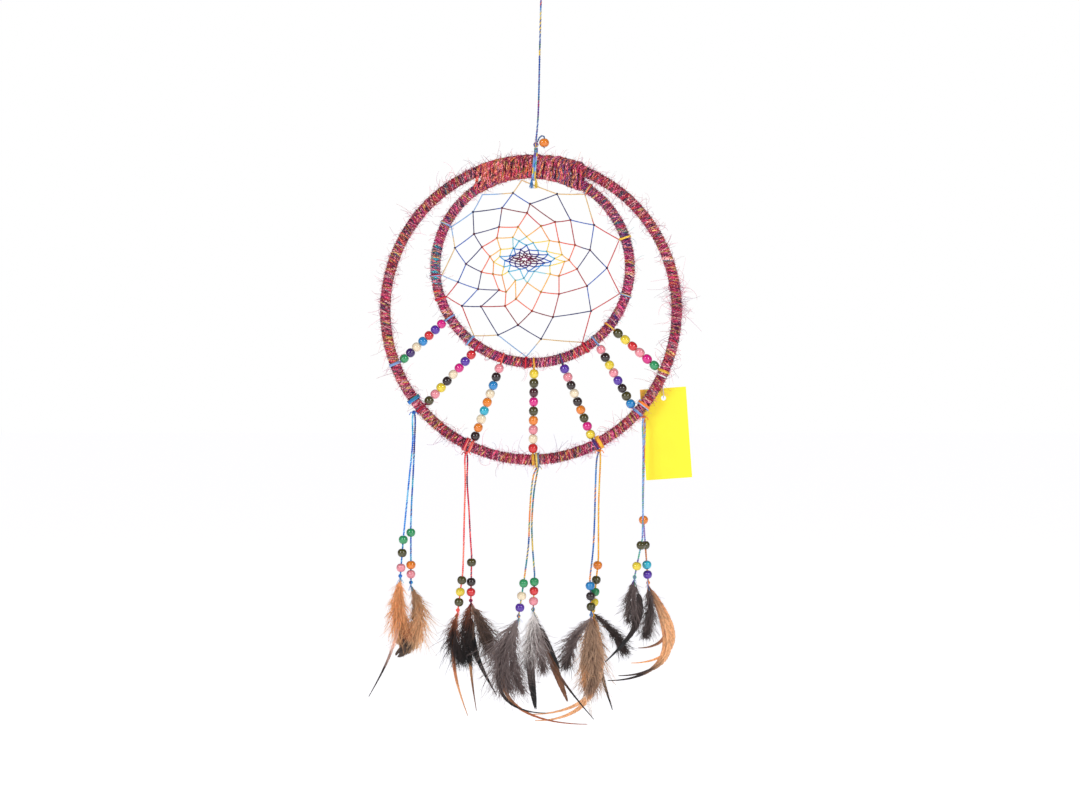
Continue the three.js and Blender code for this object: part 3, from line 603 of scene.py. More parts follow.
paint = Finish("bead_paint", Specular_IOR_Level=0.1, Coat_Roughness=0.05, Coat_IOR=1.65)
cloud = paint.noise(paint.place(), 260, 2.0)
grain = paint.noise(paint.place(), 1400, 3.0, (1, 1, 0.2))
pearl = paint.mix(cloud, (0.55, 0.5, 0.5, 1), (1.0, 1.0, 1.0, 1))
paint.vary("Base Color", paint.mix(1.0, paint.own("tone"), pearl, "MULTIPLY"))
paint.vary("Roughness", 0.35 + grain * 0.2)
paint.vary("Coat Weight", 0.85 + cloud * 0.15)
paint.bump(grain, 0.05 * MM, 0.4)

orange_bead = turned_bead(radius=3.9, half=3.3, bore=1.5)
piece(bead_row("hanging_bead", orange_bead, [BEAD_SPOT], (0, 0, 1), [PAINTED["orange"]], rng),
      paint, "knot_bead", "orange_bead", "hang_bead")

# ---- The hoops: bent cane and wound yarn ----
# Each hoop is a cane bent round, wound from end to end with thick yarn spun from silk waste. The
# yarn changes colour every few turns, and its loose fibres stand off all the way round.

cane = Finish("split_cane", Coat_Weight=0.15, Coat_Roughness=0.35)
spot = cane.place()
streak = cane.noise(spot, 900, 3.0, (1, 0.25, 1))
blotch = cane.noise(spot, 60, 2.0)
cane_stops = [(0.3, seen(150, 112, 62)), (0.7, seen(206, 170, 112))]
cane_tone = cane.node("ShaderNodeValToRGB", {"stops": cane_stops}, {"Fac": streak})
cane.vary("Base Color", cane.mix(blotch * 0.35, cane_tone, (*seen(120, 84, 44), 1)))
cane.vary("Roughness", 0.35 + streak * 0.3)
cane.bump(streak, 0.1 * MM, 0.5)
for hoop_name in ("outer_hoop_cane", "inner_hoop_cane"):
    cane_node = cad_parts[hoop_name]
    cane_node.data.materials.clear()
    cane_node.data.materials.append(cane.material)

CRIMSON_YARN = [
    seen(176, 16, 72), seen(122, 8, 50), seen(204, 34, 92), seen(84, 6, 44), seen(220, 56, 104),
    seen(160, 18, 50), seen(64, 8, 50), seen(190, 22, 60), seen(140, 14, 90),
]
FLECKS = [
    seen(246, 140, 160), seen(236, 124, 76), seen(190, 160, 70), seen(50, 14, 70), seen(250, 196, 190),
    seen(224, 70, 50), seen(60, 100, 120), seen(244, 200, 120), seen(238, 90, 150), seen(240, 150, 170),
]
MAGENTA_YARN = [
    seen(188, 14, 96), seen(130, 8, 70), seen(214, 34, 120), seen(98, 10, 86), seen(76, 20, 104),
    seen(222, 64, 130), seen(166, 14, 64), seen(60, 6, 56),
]
TEALS = [seen(0, 150, 170), seen(50, 200, 210), seen(0, 96, 130), seen(90, 30, 104)]
GREYS = [seen(80, 110, 130), seen(116, 50, 124), seen(50, 80, 104), seen(176, 50, 110), seen(50, 116, 96)]
REDS = [seen(208, 20, 44), seen(224, 40, 52), seen(160, 8, 52)]


def near_angle(angle, low, high):
    """Whether an angle round a hoop lies in a stretch of it, which may cross zero."""
    return (angle - low) % 360 < (high - low) % 360


def yarn_palette(hoop, angle):
    if hoop is OUTER:
        return CRIMSON_YARN
    if near_angle(angle, 166, 190):
        return TEALS + TEALS + MAGENTA_YARN[:1]
    if near_angle(angle, 18, 58):
        return GREYS + MAGENTA_YARN[:2]
    if near_angle(angle, 295, 309) or near_angle(angle, 260, 270):
        return REDS
    return MAGENTA_YARN


def wavering(rng, count, every, low, high):
    """Values along a line that drift between two limits, with a new aim every few points."""
    aims = rng.uniform(low, high, count // every + 2)
    return np.interp(np.arange(count), np.arange(len(aims)) * every, aims)


def yarn_wrap(rng, name, hoop, turns, yarn):
    """The yarn's turns round a hoop, tight, uneven and sloping, with a thinner strand over them."""
    around = 9
    count = turns * around
    angle = np.linspace(90.8, 449.2, count)
    line = on_hoop(hoop, angle)
    turn = np.arange(count) * 2 * math.pi / around
    reach = hoop["wrap"] - yarn + 0.12 + wavering(rng, count, 7, -0.4, 0.3)
    slide = wavering(rng, count, 23, -0.5, 0.5)
    slope = 2.1 * np.cos(turn)
    main = wound(line, reach, turn) + ways(line) * (slide + slope)[:, None]
    tones = np.empty((count, 3))
    start = 0
    while start < count:
        size = 1 + int(rng.exponential(1.5))
        palette = yarn_palette(hoop, angle[start])
        flecked = rng.random() < (0.3 if palette in (CRIMSON_YARN, MAGENTA_YARN) else 0.1)
        choice = FLECKS if flecked else palette
        tone = choice[rng.integers(len(choice))]
        tones[start:start + size] = np.array(tone) * rng.uniform(0.45, 1.4)
        start += size
    thick = yarn * wavering(rng, count, 5, 0.72, 1.08)
    lines = [main]
    radii = [thick]
    shades = [tones]
    for strand in range(4):
        some = turns // 4 * around
        over_angle = np.linspace(91, 449, some)
        over_turn = np.arange(some) * 2 * math.pi / around * (-1) ** strand + strand
        over_reach = hoop["wrap"] + 0.05 + rng.normal(0, 0.1, some)
        lines.append(wound(on_hoop(hoop, over_angle), over_reach, over_turn))
        radii.append(0.22 + 0.1 * rng.random(some))
        shades.append(dyed(rng, some, (FLECKS + yarn_palette(hoop, 120)), 6))
    return strands(name, lines, radii, shades)


def stray_fibres(rng, name, hoop, count, palette, low=0.0, high=360.0, long=5.5, joints=8, thick=0.12):
    """Loose fibres that stand off a hoop's yarn, each curling its own way."""
    angle = rng.uniform(low, high, count)
    middle = on_hoop(hoop, angle)
    turn = rng.uniform(0, 2 * math.pi, count)
    radial = np.column_stack([np.cos(np.radians(angle)), 0 * angle, np.sin(np.radians(angle))])
    out = radial * np.cos(turn)[:, None] + np.array([[0, 1, 0]]) * np.sin(turn)[:, None] * 0.8
    ahead = np.column_stack([-np.sin(np.radians(angle)), 0 * angle, np.cos(np.radians(angle))])
    go = out + ahead * rng.normal(0, 0.9, count)[:, None]
    go /= np.linalg.norm(go, axis=1)[:, None]
    size = np.clip(rng.gamma(2.0, long / 2.0, count), 1.2, 3.3 * long)
    axis = rng.normal(0, 1, (count, 3))
    axis[:, 1] *= 2.5
    axis /= np.linalg.norm(axis, axis=1)[:, None]
    bend = rng.normal(0, 1.5, count)
    lines = []
    for i in range(count):
        spot = middle[i] + out[i] * (hoop["wrap"] - 0.5)
        ahead = Vector(go[i])
        wind = Matrix.Rotation(bend[i] / joints * 1.4, 3, axis[i])
        line = [spot]
        for _ in range(joints):
            line.append(line[-1] + np.array(ahead) * size[i] / joints)
            ahead = wind @ ahead
        lines.append(np.array(line))
    radii = [np.linspace(thick, thick * 0.5, joints + 1) * rng.uniform(0.7, 1.3) for _ in lines]
    tones = [np.array(palette[rng.integers(len(palette))]) * rng.uniform(0.8, 1.3) for _ in lines]
    return strands(name, lines, radii, tones, sides=4)


silk = spun_fibre("silk_waste_yarn", 1.4, 0.42, roughness=0.8, sheen=0.05, fleck_and_painted_light=0.85)
piece(yarn_wrap(rng, "outer_hoop_yarn", OUTER, 590, 0.78), silk, "hoops", "crimson_yarn", "outer_hoop_wrap")
piece(yarn_wrap(rng, "inner_hoop_yarn", INNER, 385, 0.76), silk, "hoops", "magenta_yarn", "inner_hoop_wrap")

FIBRE_DYES = [
    seen(206, 30, 90), seen(230, 90, 140), seen(150, 16, 84), seen(110, 26, 104), seen(232, 120, 150),
    seen(186, 16, 50), seen(170, 40, 130),
]
stray = spun_fibre("stray_fibre", 1.1, 0.8, roughness=0.6, sheen=0.1)
NAP = {"joints": 3, "thick": 0.09}
for name, hoop, slot, count, dyes, shape in (
    ("outer_hoop_fibres", OUTER, "crimson_yarn", 2300, FIBRE_DYES, {}),
    ("outer_hoop_nap", OUTER, "crimson_yarn", 5200, FIBRE_DYES + FLECKS[:2], {"long": 2.0, **NAP}),
    ("inner_hoop_nap", INNER, "magenta_yarn", 3400, FIBRE_DYES, {"long": 1.8, **NAP}),
    ("outer_hoop_tuft", OUTER, "crimson_yarn", 240, FIBRE_DYES,
     {"low": -2, "high": 10, "long": 7, "thick": 0.1}),
    ("inner_hoop_fibres", INNER, "magenta_yarn", 1200, FIBRE_DYES + TEALS[:1], {"long": 4}),
):
    piece(stray_fibres(rng, name, hoop, count, dyes, **shape), stray, "hoops", slot)

# ---- The top binding ----
# A second length of yarn, red and olive and then purple, wound slantwise round both hoops where
# they touch, so that one is held inside the other.

BINDING_HALF = 42
BINDING_STEP = 1.5
binding_turns = 56
around = 16
steps = binding_turns * around
across = np.linspace(-BINDING_HALF + 1.2, BINDING_HALF - 1.2, steps)
turn = np.arange(steps) * 2 * math.pi / around


def hoop_top(hoop, x):
    """The height of the middle of a hoop's cane, x to the right of the hoop's own middle."""
    return hoop["z"] + hoop["high"] * np.sqrt(1 - (x / hoop["wide"]) ** 2)


upper = hoop_top(OUTER, across)
lower = hoop_top(INNER, across - INNER["x"] + OUTER["x"])
round_both = np.cos(turn)
binding_reach = OUTER["wrap"] + 0.4 * np.clip((BINDING_HALF - np.abs(across)) / 9, 0.1, 1)
binding_reach = binding_reach + wavering(rng, steps, 5, -0.4, 0.4)
height = np.where(round_both > 0, upper, lower) + round_both * binding_reach
depth = np.sin(turn) * (binding_reach + 0.25 * (1 - np.abs(round_both)))
lean = wavering(rng, steps, 16, 1.5, 7.5) * np.sin(turn + 0.6) + wavering(rng, steps, 9, -0.7, 0.7)
binding_line = np.column_stack([OUTER["x"] + across + lean, depth, height])
run = run_along(binding_line)
binding_line, even = evened(binding_line, run, int(run[-1] / BINDING_STEP))
round_both = np.interp(even, run, round_both)
across = binding_line[:, 0] - OUTER["x"]
steps = len(even)
LEFT_BINDING = [
    seen(186, 36, 44), seen(206, 110, 50), seen(140, 128, 50), seen(160, 30, 60), seen(220, 90, 50),
    seen(90, 20, 40), seen(232, 150, 110),
]
RIGHT_BINDING = [
    seen(96, 36, 110), seen(160, 30, 90), seen(216, 120, 60), seen(60, 24, 80), seen(186, 60, 90),
    seen(226, 160, 90), seen(60, 90, 120),
]
binding_tones = np.empty((steps, 3))
for start in range(0, steps, 2):
    palette = LEFT_BINDING if across[start] + rng.normal(0, 6) < 2 else RIGHT_BINDING
    palette = palette + CRIMSON_YARN[:5] + FLECKS[:2]
    binding_tones[start:start + 2] = np.array(palette[rng.integers(len(palette))]) * rng.uniform(0.6, 1.35)
bindings = [binding_line]
binding_radii = [wavering(rng, steps, 5, 0.75, 1.0)]
binding_shades = [binding_tones]
for strand in range(3):
    offset = np.roll(np.arange(steps), 5 * strand + 3)
    over = binding_line * (1, 1.12, 1) + (0.8 * strand - 0.8, 0, 0)
    over[:, 2] += 0.5 * round_both
    bindings.append(over)
    binding_radii.append(wavering(rng, steps, 4, 0.2, 0.4))
    # The strands that lie over the binding take its colours painted 15% lighter, as painted highlight on
    # the raised strands.
    binding_shades.append(binding_tones[offset] * 1.15)
piece(strands("top_binding_yarn", bindings, binding_radii, binding_shades), silk, "hoops", "olive_yarn",
      "top_binding")
BINDING_FUZZ = LEFT_BINDING + RIGHT_BINDING + FIBRE_DYES
for name, hoop, low, high, long, joints in (
    ("top_binding_fibres", OUTER, 62, 118, 3.2, 6), ("top_binding_fuzz", INNER, 55, 125, 2.4, 5),
):
    fuzz = stray_fibres(rng, name, hoop, 900, BINDING_FUZZ, low, high, long, joints, thick=0.13)
    piece(fuzz, stray, "hoops", "olive_yarn")

# ---- The web ----
# One net of fine thread inside the inner hoop. Each round is half-hitched to the middle of the
# round before it, which leaves a small knot, and the dye runs change from round to round.

WEB_THREAD = 0.47
HITCH_THREAD = 0.32
WEB_MIDDLE = np.array((INNER["x"] - 3.6, 0, INNER["z"] + 6.6))
WEB_ANCHORS = [185, 153, 124, 97, 55, 18, -17, -57, -94, -130, -161]
WEB_HITCHES = [
    [(-58.5, 8.9), (-44.1, 37.7), (-12.1, 52.9), (23.1, 52.1), (52.7, 27.3), (63.1, -7.1),
     (50.3, -41.5), (10.3, -63.9), (-24.1, -60.7), (-52.9, -37.5), (-56.1, -18.3)],
    [(-43.3, 20.1), (-20.9, 40.9), (1.5, 44.1), (33.9, 31.3), (49.5, 7.3), (47.1, -21.5),
     (19.9, -46.3), (-8.1, -52.7), (-37.7, -37.9), (-40.1, -23.9), (-49.7, -3.9)],
    [(-23.3, 25.7), (-0.9, 36.9), (21.5, 29.7), (37.5, 11.3), (39.1, -7.9), (24.7, -27.9),
     (3.1, -41.5), (-18.5, -37.5), (-23.3, -24.7), (-37.3, -10.3), (-36.9, 9.7)],
    [(-8.1, 25.7), (10.3, 26.5), (24.7, 13.7), (32.7, -0.7), (24.7, -13.5), (10.3, -26.3),
     (-9.7, -31.9), (-17.7, -26.3), (-28.1, -11.9), (-30.5, 2.1), (-24.9, 16.9)],
]
LOOP_THREAD = 0.9


def off_hoop(hoop, angle, towards, extra):
    """Where a thread leaves its loop round a hoop, on the side towards a point."""
    away = np.cross((0, 1, 0), along_hoop(hoop, angle))
    spot = on_hoop(hoop, angle)[0]
    return spot + away * (hoop["wrap"] + extra) * math.copysign(1, away.dot(towards - spot))


def thread_loop(hoop, angle, reach, turns=1.6, width=0.8):
    """Turns of thread round a hoop's yarn."""
    count = int(18 * turns)
    way = along_hoop(hoop, angle)
    away = np.cross((0, 1, 0), way)
    turn = np.linspace(0, 2 * math.pi * turns, count)[:, None]
    slide = np.linspace(-width / 2, width / 2, count)[:, None]
    ring = away * np.cos(turn) + np.array([[0, 1, 0]]) * np.sin(turn)
    return on_hoop(hoop, angle)[0] + ring * (hoop["wrap"] + reach) + way * slide


under_binding = math.degrees(math.asin(BINDING_HALF / INNER["wide"])) + 2
anchors = []
for angle in WEB_ANCHORS:
    extra = 2.15 if abs(angle - 90) < under_binding else RING_CLEAR + LOOP_THREAD / 2
    anchors.append(off_hoop(INNER, angle, WEB_MIDDLE, extra))
web_rounds = [np.array(anchors)]
for hitches in WEB_HITCHES:
    web_rounds.append(np.array([WEB_MIDDLE + (x, 0, z) for x, z in hitches]))
WEB_SQUASH = [
    (26.5, 20), (22.5, 13.5), (18, 9.5), (14.5, 7.6), (11.5, 6), (8.4, 4.4), (5.4, 2.8), (2.6, 1.2),
]
for wide, high in WEB_SQUASH:
    last = web_rounds[-1]
    halfway = (last + np.roll(last, -1, axis=0)) / 2
    halfway = halfway - halfway.mean(axis=0)
    halfway *= (wide / np.abs(halfway[:, 0]).max(), 1, high / np.abs(halfway[:, 2]).max())
    halfway += rng.normal(0, 0.07, halfway.shape) * (wide, 0, high)
    web_rounds.append(WEB_MIDDLE + halfway + ((wide - 31) * 0.1, 0, 0))

WEB_DYES = [
    [seen(120, 160, 205), seen(206, 170, 110), seen(190, 40, 46), seen(120, 160, 205)],
    [seen(26, 30, 96), seen(40, 84, 170), seen(24, 26, 84)],
    [seen(120, 14, 40), seen(160, 24, 40), seen(36, 34, 100)],
    [seen(216, 70, 40), seen(226, 96, 60), seen(190, 30, 44)],
    [seen(236, 170, 60), seen(226, 140, 50)],
    [seen(236, 200, 60), seen(120, 190, 205)],
    [seen(60, 170, 205), seen(70, 150, 205)],
    [seen(24, 110, 190), seen(30, 90, 180)],
    [seen(40, 50, 140), seen(60, 40, 130)],
    [seen(70, 24, 96), seen(50, 30, 110)],
    [seen(120, 14, 84), seen(90, 12, 60)],
    [seen(90, 10, 40), seen(120, 14, 84)],
]
ANCHOR_DYES = {18: GOLDS, -161: REDS, -57: REDS, -94: REDS}
web_lines = []
web_radii = []
web_tones = []
for number in range(len(web_rounds) - 1):
    outside, inside = web_rounds[number], web_rounds[number + 1]
    stops = []
    for i in range(len(WEB_ANCHORS)):
        stops += [outside[i] + (0, 0.12, 0), inside[i] - (0, 0.12, 0)]
    stops.append(stops[0])
    line = []
    for start, end in zip(stops, stops[1:]):
        share = np.linspace(0, 1, 14, endpoint=False)[:, None]
        sag = np.array([[0, 0, -0.25]]) * np.sin(math.pi * share)
        line.append(start + (end - start) * share + sag)
    line = np.vstack(line)
    web_lines.append(line)
    web_radii.append(WEB_THREAD * (1 + 0.1 * rng.normal(0, 0.5, len(line))))
    web_tones.append(dyed(rng, len(line), WEB_DYES[number], 26))
    for i, spot in enumerate(outside):
        if number == 0:
            if abs(WEB_ANCHORS[i] - 90) >= under_binding:
                loop = thread_loop(INNER, WEB_ANCHORS[i], RING_CLEAR + 0.1, 2.6, 1.5)
                web_lines.append(loop)
                web_radii.append(np.full(len(loop), WEB_THREAD))
                web_tones.append(dyed(rng, len(loop), ANCHOR_DYES.get(WEB_ANCHORS[i], WEB_DYES[0]), 12))
            continue
        hitch = knot_lines(rng, spot, 1.05 if number < 5 else 0.8, HITCH_THREAD, 3)
        web_lines.append(hitch)
        web_radii.append(np.full(len(hitch), HITCH_THREAD))
        # Each hitch knot is painted at under half its round's first dye, as painted shade in the tight
        # knot.
        web_tones.append(np.array(WEB_DYES[number][0]) * 0.45)
web_thread = spun_fibre("web_thread", 1.25, 0.75)
piece(strands("web_net", web_lines, web_radii, web_tones), web_thread, "hoops", "web_thread", "web")

# ---- The bead threads between the hoops ----
# Seven threads run from loops round the inner hoop to loops round the outer one. Each is strung
# with turned wooden beads, painted and varnished, that touch or nearly touch.

BEAD_PITCH = BEAD_LENGTH + 0.05
BARE_THREAD = 0.5
BEAD_THREADS = [
    (211.8, 201, "magenta purple red blue cream dark_purple green"),
    (235.7, 221, "red purple magenta cream black yellow pink olive"),
    (252, 245.7, "pink black blue cream orange cyan cream orange black"),
    (270.8, 270.8, "yellow olive maroon magenta olive orange pink cream red"),
    (287, 296.1, "purple pink black cream black orange olive magenta yellow"),
    (309.8, 317, "pink black yellow pink purple black olive blue"),
    (322, 335.9, "olive yellow red pink magenta green"),
]
THREAD_DYES = [SKIES[:2], REDS, CORALS, GOLDS, [seen(70, 70, 90)] + VIOLETS, SKIES[:2], GOLDS]
for number, (inner_angle, outer_angle, names) in enumerate(BEAD_THREADS, 1):
    reach = RING_CLEAR + LOOP_THREAD / 2
    start = off_hoop(INNER, inner_angle, on_hoop(OUTER, outer_angle)[0], reach)
    end = off_hoop(OUTER, outer_angle, on_hoop(INNER, inner_angle)[0], reach)
    room = np.linalg.norm(end - start)
    way = (end - start) / room
    count = min(len(names.split()), int((room - BARE_THREAD) / BEAD_PITCH))
    pitch = (room - BARE_THREAD) / count
    string_bead = turned_bead(radius=3.75, half=0.482 * pitch, bore=0.85)
    spots = [start + way * (BARE_THREAD / 2 + (i + 0.5) * pitch) for i in range(count)]
    tones = [PAINTED[name] for name in names.split()[:count]]
    slot = f"string_beads_{number}"
    run = np.linspace(0, room, int(room / 0.5))[:, None]
    thread_line = start + way * run
    twists = [wound(thread_line, 0.24, run[:, 0] * 2.4 + ply * math.pi) for ply in range(2)]
    loops = [thread_loop(INNER, inner_angle, RING_CLEAR, 2.4, 1.5),
             thread_loop(OUTER, outer_angle, RING_CLEAR, 3.4, 2.4)]
    lines = twists + loops
    for spot in (start + way * 0.5, end - way * 0.5):
        lines.append(knot_lines(rng, spot, 1.1, 0.32, 3))
    shades = [dyed(rng, len(line), THREAD_DYES[number - 1], 14) for line in lines]
    thread_mesh = strands(f"bead_string_{number}_thread", lines, [0.3] * len(lines), shades)
    piece(thread_mesh, web_thread, "hoops", slot, f"bead_thread_{number}")
    piece(bead_row(f"bead_string_{number}_beads", string_bead, spots, way, tones, rng),
          paint, "hoops", slot)

# ---- The pendants' ties, beads and knots ----
# Each pendant's cords are wound round the outer hoop and knotted under it. Its beads slide on the
# cords, and a knot at the bottom of each cord stops them.

TIE_DYES = [
    [seen(34, 100, 190), seen(60, 140, 200), seen(40, 130, 110)], CORALS + REDS,
    [seen(110, 120, 140), seen(50, 80, 150), seen(220, 190, 90)], GOLDS + [seen(236, 120, 40)],
    [seen(238, 130, 50), seen(150, 190, 225)],
]
for number, (angle, *_) in enumerate(PENDANT_CORDS, 1):
    foot = tie_foot(angle)
    loop = thread_loop(OUTER, angle, RING_CLEAR + 0.5, 4.6, 3.0)
    knot = knot_lines(rng, foot + (0, 0, 0.9), 1.7, 0.5, 5)
    ends = []
    for side in (-1, 1):
        bent = (foot + (0, -1.2, 0.5), foot + (side * 2.0, -1.8, 1.2), foot + (side * 3.6, -1.6, -1.0))
        ends.append(smooth_line(bent, 0.5))
    lines = [loop, knot] + ends
    tones = [dyed(rng, len(line), TIE_DYES[number - 1], 16) for line in lines]
    piece(strands(f"pendant_{number}_tie_thread", lines, [0.52, 0.5, 0.4, 0.4], tones), pendant_thread,
          f"pendant_{number}_loop", CORD_SLOTS[number - 1], f"pendant_{number}_tie")

PENDANT_BEADS = [
    ("green olive pink", "green orange pink"), ("olive yellow olive", "olive black red"),
    ("green cream purple", "green red pink"), ("blue black olive", "orange olive green yellow"),
    ("olive yellow", "orange olive cyan purple"),
]
END_THREAD = 0.5
TUFT_THREAD = 0.16
TUFT_FIBRES = 10
hung_bead = turned_bead(radius=3.7, half=3.24, bore=1.0)
for strand in hung:
    number, side = strand["number"], strand["side"]
    names = PENDANT_BEADS[number - 1][0 if side == "left" else 1].split()
    spots = [strand["top"] + strand["down"] * middle for middle in strand["middles"]]
    label = f"pendant_{number}_{side}"
    beads = piece(bead_row(label + "_wood_beads", hung_bead, spots, strand["down"],
                           [PAINTED[name] for name in names], rng),
                  paint, f"pendant_{number}", "pendant_beads", label + "_beads")
    dye = CORD_DYES[number - 1][0 if side == "left" else 1]
    knot = knot_lines(rng, strand["knot"], KNOT_RADIUS, END_THREAD, 4)
    tuft = []
    for _ in range(TUFT_FIBRES):
        lean = rng.normal(0, 1.1, 3)
        tuft.append(smooth_line([strand["knot"] - (0, 0, 0.8), strand["knot"] + lean * 0.6 - (0, 0, 2.6),
                                 strand["knot"] + lean * 1.3 - (0, 0, 4.8)], 0.8))
    lines = [knot] + tuft
    tones = [dyed(rng, len(line), dye, 9) for line in lines]
    thicks = [END_THREAD] + [TUFT_THREAD] * len(tuft)
    end_knot = piece(strands(label + "_end_knot", lines, thicks, tones), pendant_thread,
                     f"pendant_{number}", CORD_SLOTS[number - 1])
    tuple(strand["line"][0] * MM)
    strand["line"] * MM

# ---- The feathers ----
# Small dyed and natural hen feathers, one to four knotted into each cord's end. Each has a curved
# quill, long loose down near the knot, and a closer vane towards its tip.

DARK = seen(46, 33, 31)
BLACK = seen(10, 8, 10)
BROWN = seen(124, 82, 56)
TAN = seen(226, 168, 118)
PALE_TAN = seen(250, 208, 168)
GREY = seen(156, 142, 140)
GREY_BROWN = seen(150, 120, 102)
WHITE = seen(252, 250, 248)
PEACH = seen(252, 216, 172)
ORANGE_TAN = seen(246, 176, 116)
DARK_GREY = seen(96, 80, 78)
PALE_GREY = seen(214, 207, 205)
RUST = seen(172, 94, 54)
PINKISH = seen(230, 190, 174)

# How far in depth a feather may stand from its knot, and for each kind of feather the share of its
# quill that is downy and the share that is bare.
PLUME_DEPTH = 9
DOWN_SHARE = {"vane": 0.3, "down": 1.2, "half": 0.62, "sickle": 0.1, "arc": 0.05}
BARE_SHARE = {"vane": 0.05, "down": 0.02, "half": 0.03, "sickle": 0.16, "arc": 0.03}


def feather(rng, quill, tip, bow, width, kind, tones, barbs, low):
    """The quill and barbs of one feather, as lines with their radii and colours.

    tones are the colours at the knot, along the middle, at the tip and along the barbs' ends.
    """
    base, middle, end, edge = (np.array(tone) for tone in tones)
    t = np.linspace(0, 1, 26)
    lift = rng.uniform(-1, 1) * 2.2
    shaft = np.column_stack([
        quill[0] + tip[0] * t + bow * np.sin(math.pi * t),
        quill[1] + lift * np.sin(math.pi * t * 0.8) + rng.uniform(-0.4, 0.4) * t,
        quill[2] + tip[1] * t])
    if kind == "arc":
        sweep = (1 - np.cos(math.pi / 2 * t)) ** 1.6
        shaft[:, 0] = quill[0] + tip[0] * sweep + bow * np.sin(math.pi * t)
        shaft[:, 1] = quill[1] - 5.5 * np.sin(math.pi * t * 0.8)
        shaft[:, 2] = quill[2] + tip[1] * np.sin(math.pi / 2 * t)
    lines = [shaft]
    radii = [np.interp(t, [0, 0.2, 1], [0.42, 0.3, 0.08])]
    tones_out = [base * 0.8 + (middle * 0.6 - base * 0.8) * t[:, None]]
    way = ways(shaft)
    s = np.linspace(0, 1, 6)[:, None]
    for side in (-1, 1):
        for spot in np.linspace(BARE_SHARE[kind], 0.99, barbs):
            spot = min(0.995, spot + rng.uniform(-0.5, 0.5) / barbs)
            downy = spot < DOWN_SHARE[kind] * rng.uniform(0.75, 1.1)
            root = np.array([np.interp(spot, t, shaft[:, axis]) for axis in range(3)])
            ahead = np.array([np.interp(spot, t, way[:, axis]) for axis in range(3)])
            out = np.cross(ahead, (0, 1, 0)) * side
            full = math.sin(math.pi * (spot * 0.88 + 0.1) ** low) ** 0.7
            reach = width / 2 * full
            if downy:
                reach *= rng.uniform(0.7, 1.3) * 1.95
                go = out * rng.uniform(0.25, 0.95) + ahead * rng.uniform(1.1, 2.0)
                go = go + (0, rng.normal(0, 0.4), 0)
                curl = rng.normal(0, 1, 3) * (0.2, 0.22, 0.16)
                inward = -out * rng.uniform(0, 0.3)
                go /= np.linalg.norm(go)
                ripple = 0.04 * np.sin(9 * s + spot * 40) * out
                barb = root + reach * (go * s + (curl + inward) * s ** 2 + ripple)
                thick = np.linspace(0.24, 0.07, 6)
            else:
                reach *= rng.uniform(0.88, 1.06)
                go = out + ahead * (1.1 + 2.2 * spot ** 2)
                go /= np.linalg.norm(go)
                barb = root + reach * 1.35 * (go * s + ahead * 0.3 * s ** 2 - out * 0.1 * s ** 2)
                barb[:, 1] += (0.3 * side * s[:, 0] + rng.normal(0, 0.16)) * min(1, reach)
                thick = np.linspace(0.36, 0.16, 6)
            along = np.clip((spot - 0.55) / 0.2, 0, 1)
            start = np.clip(spot / 0.3, 0, 1)
            own = base + (middle - base) * start
            own = own + (end - own) * along
            frayed = edge + (end - edge) * along * 0.85
            blend = (s ** 1.5) * (0.6 if downy else 0.45)
            lines.append(barb)
            radii.append(thick)
            tones_out.append((own + (frayed - own) * blend) * rng.uniform(0.7, 1.25))
    for line in lines:
        line[:, 1] = quill[1] + PLUME_DEPTH * np.tanh((line[:, 1] - quill[1]) / PLUME_DEPTH)
    return lines, radii, tones_out


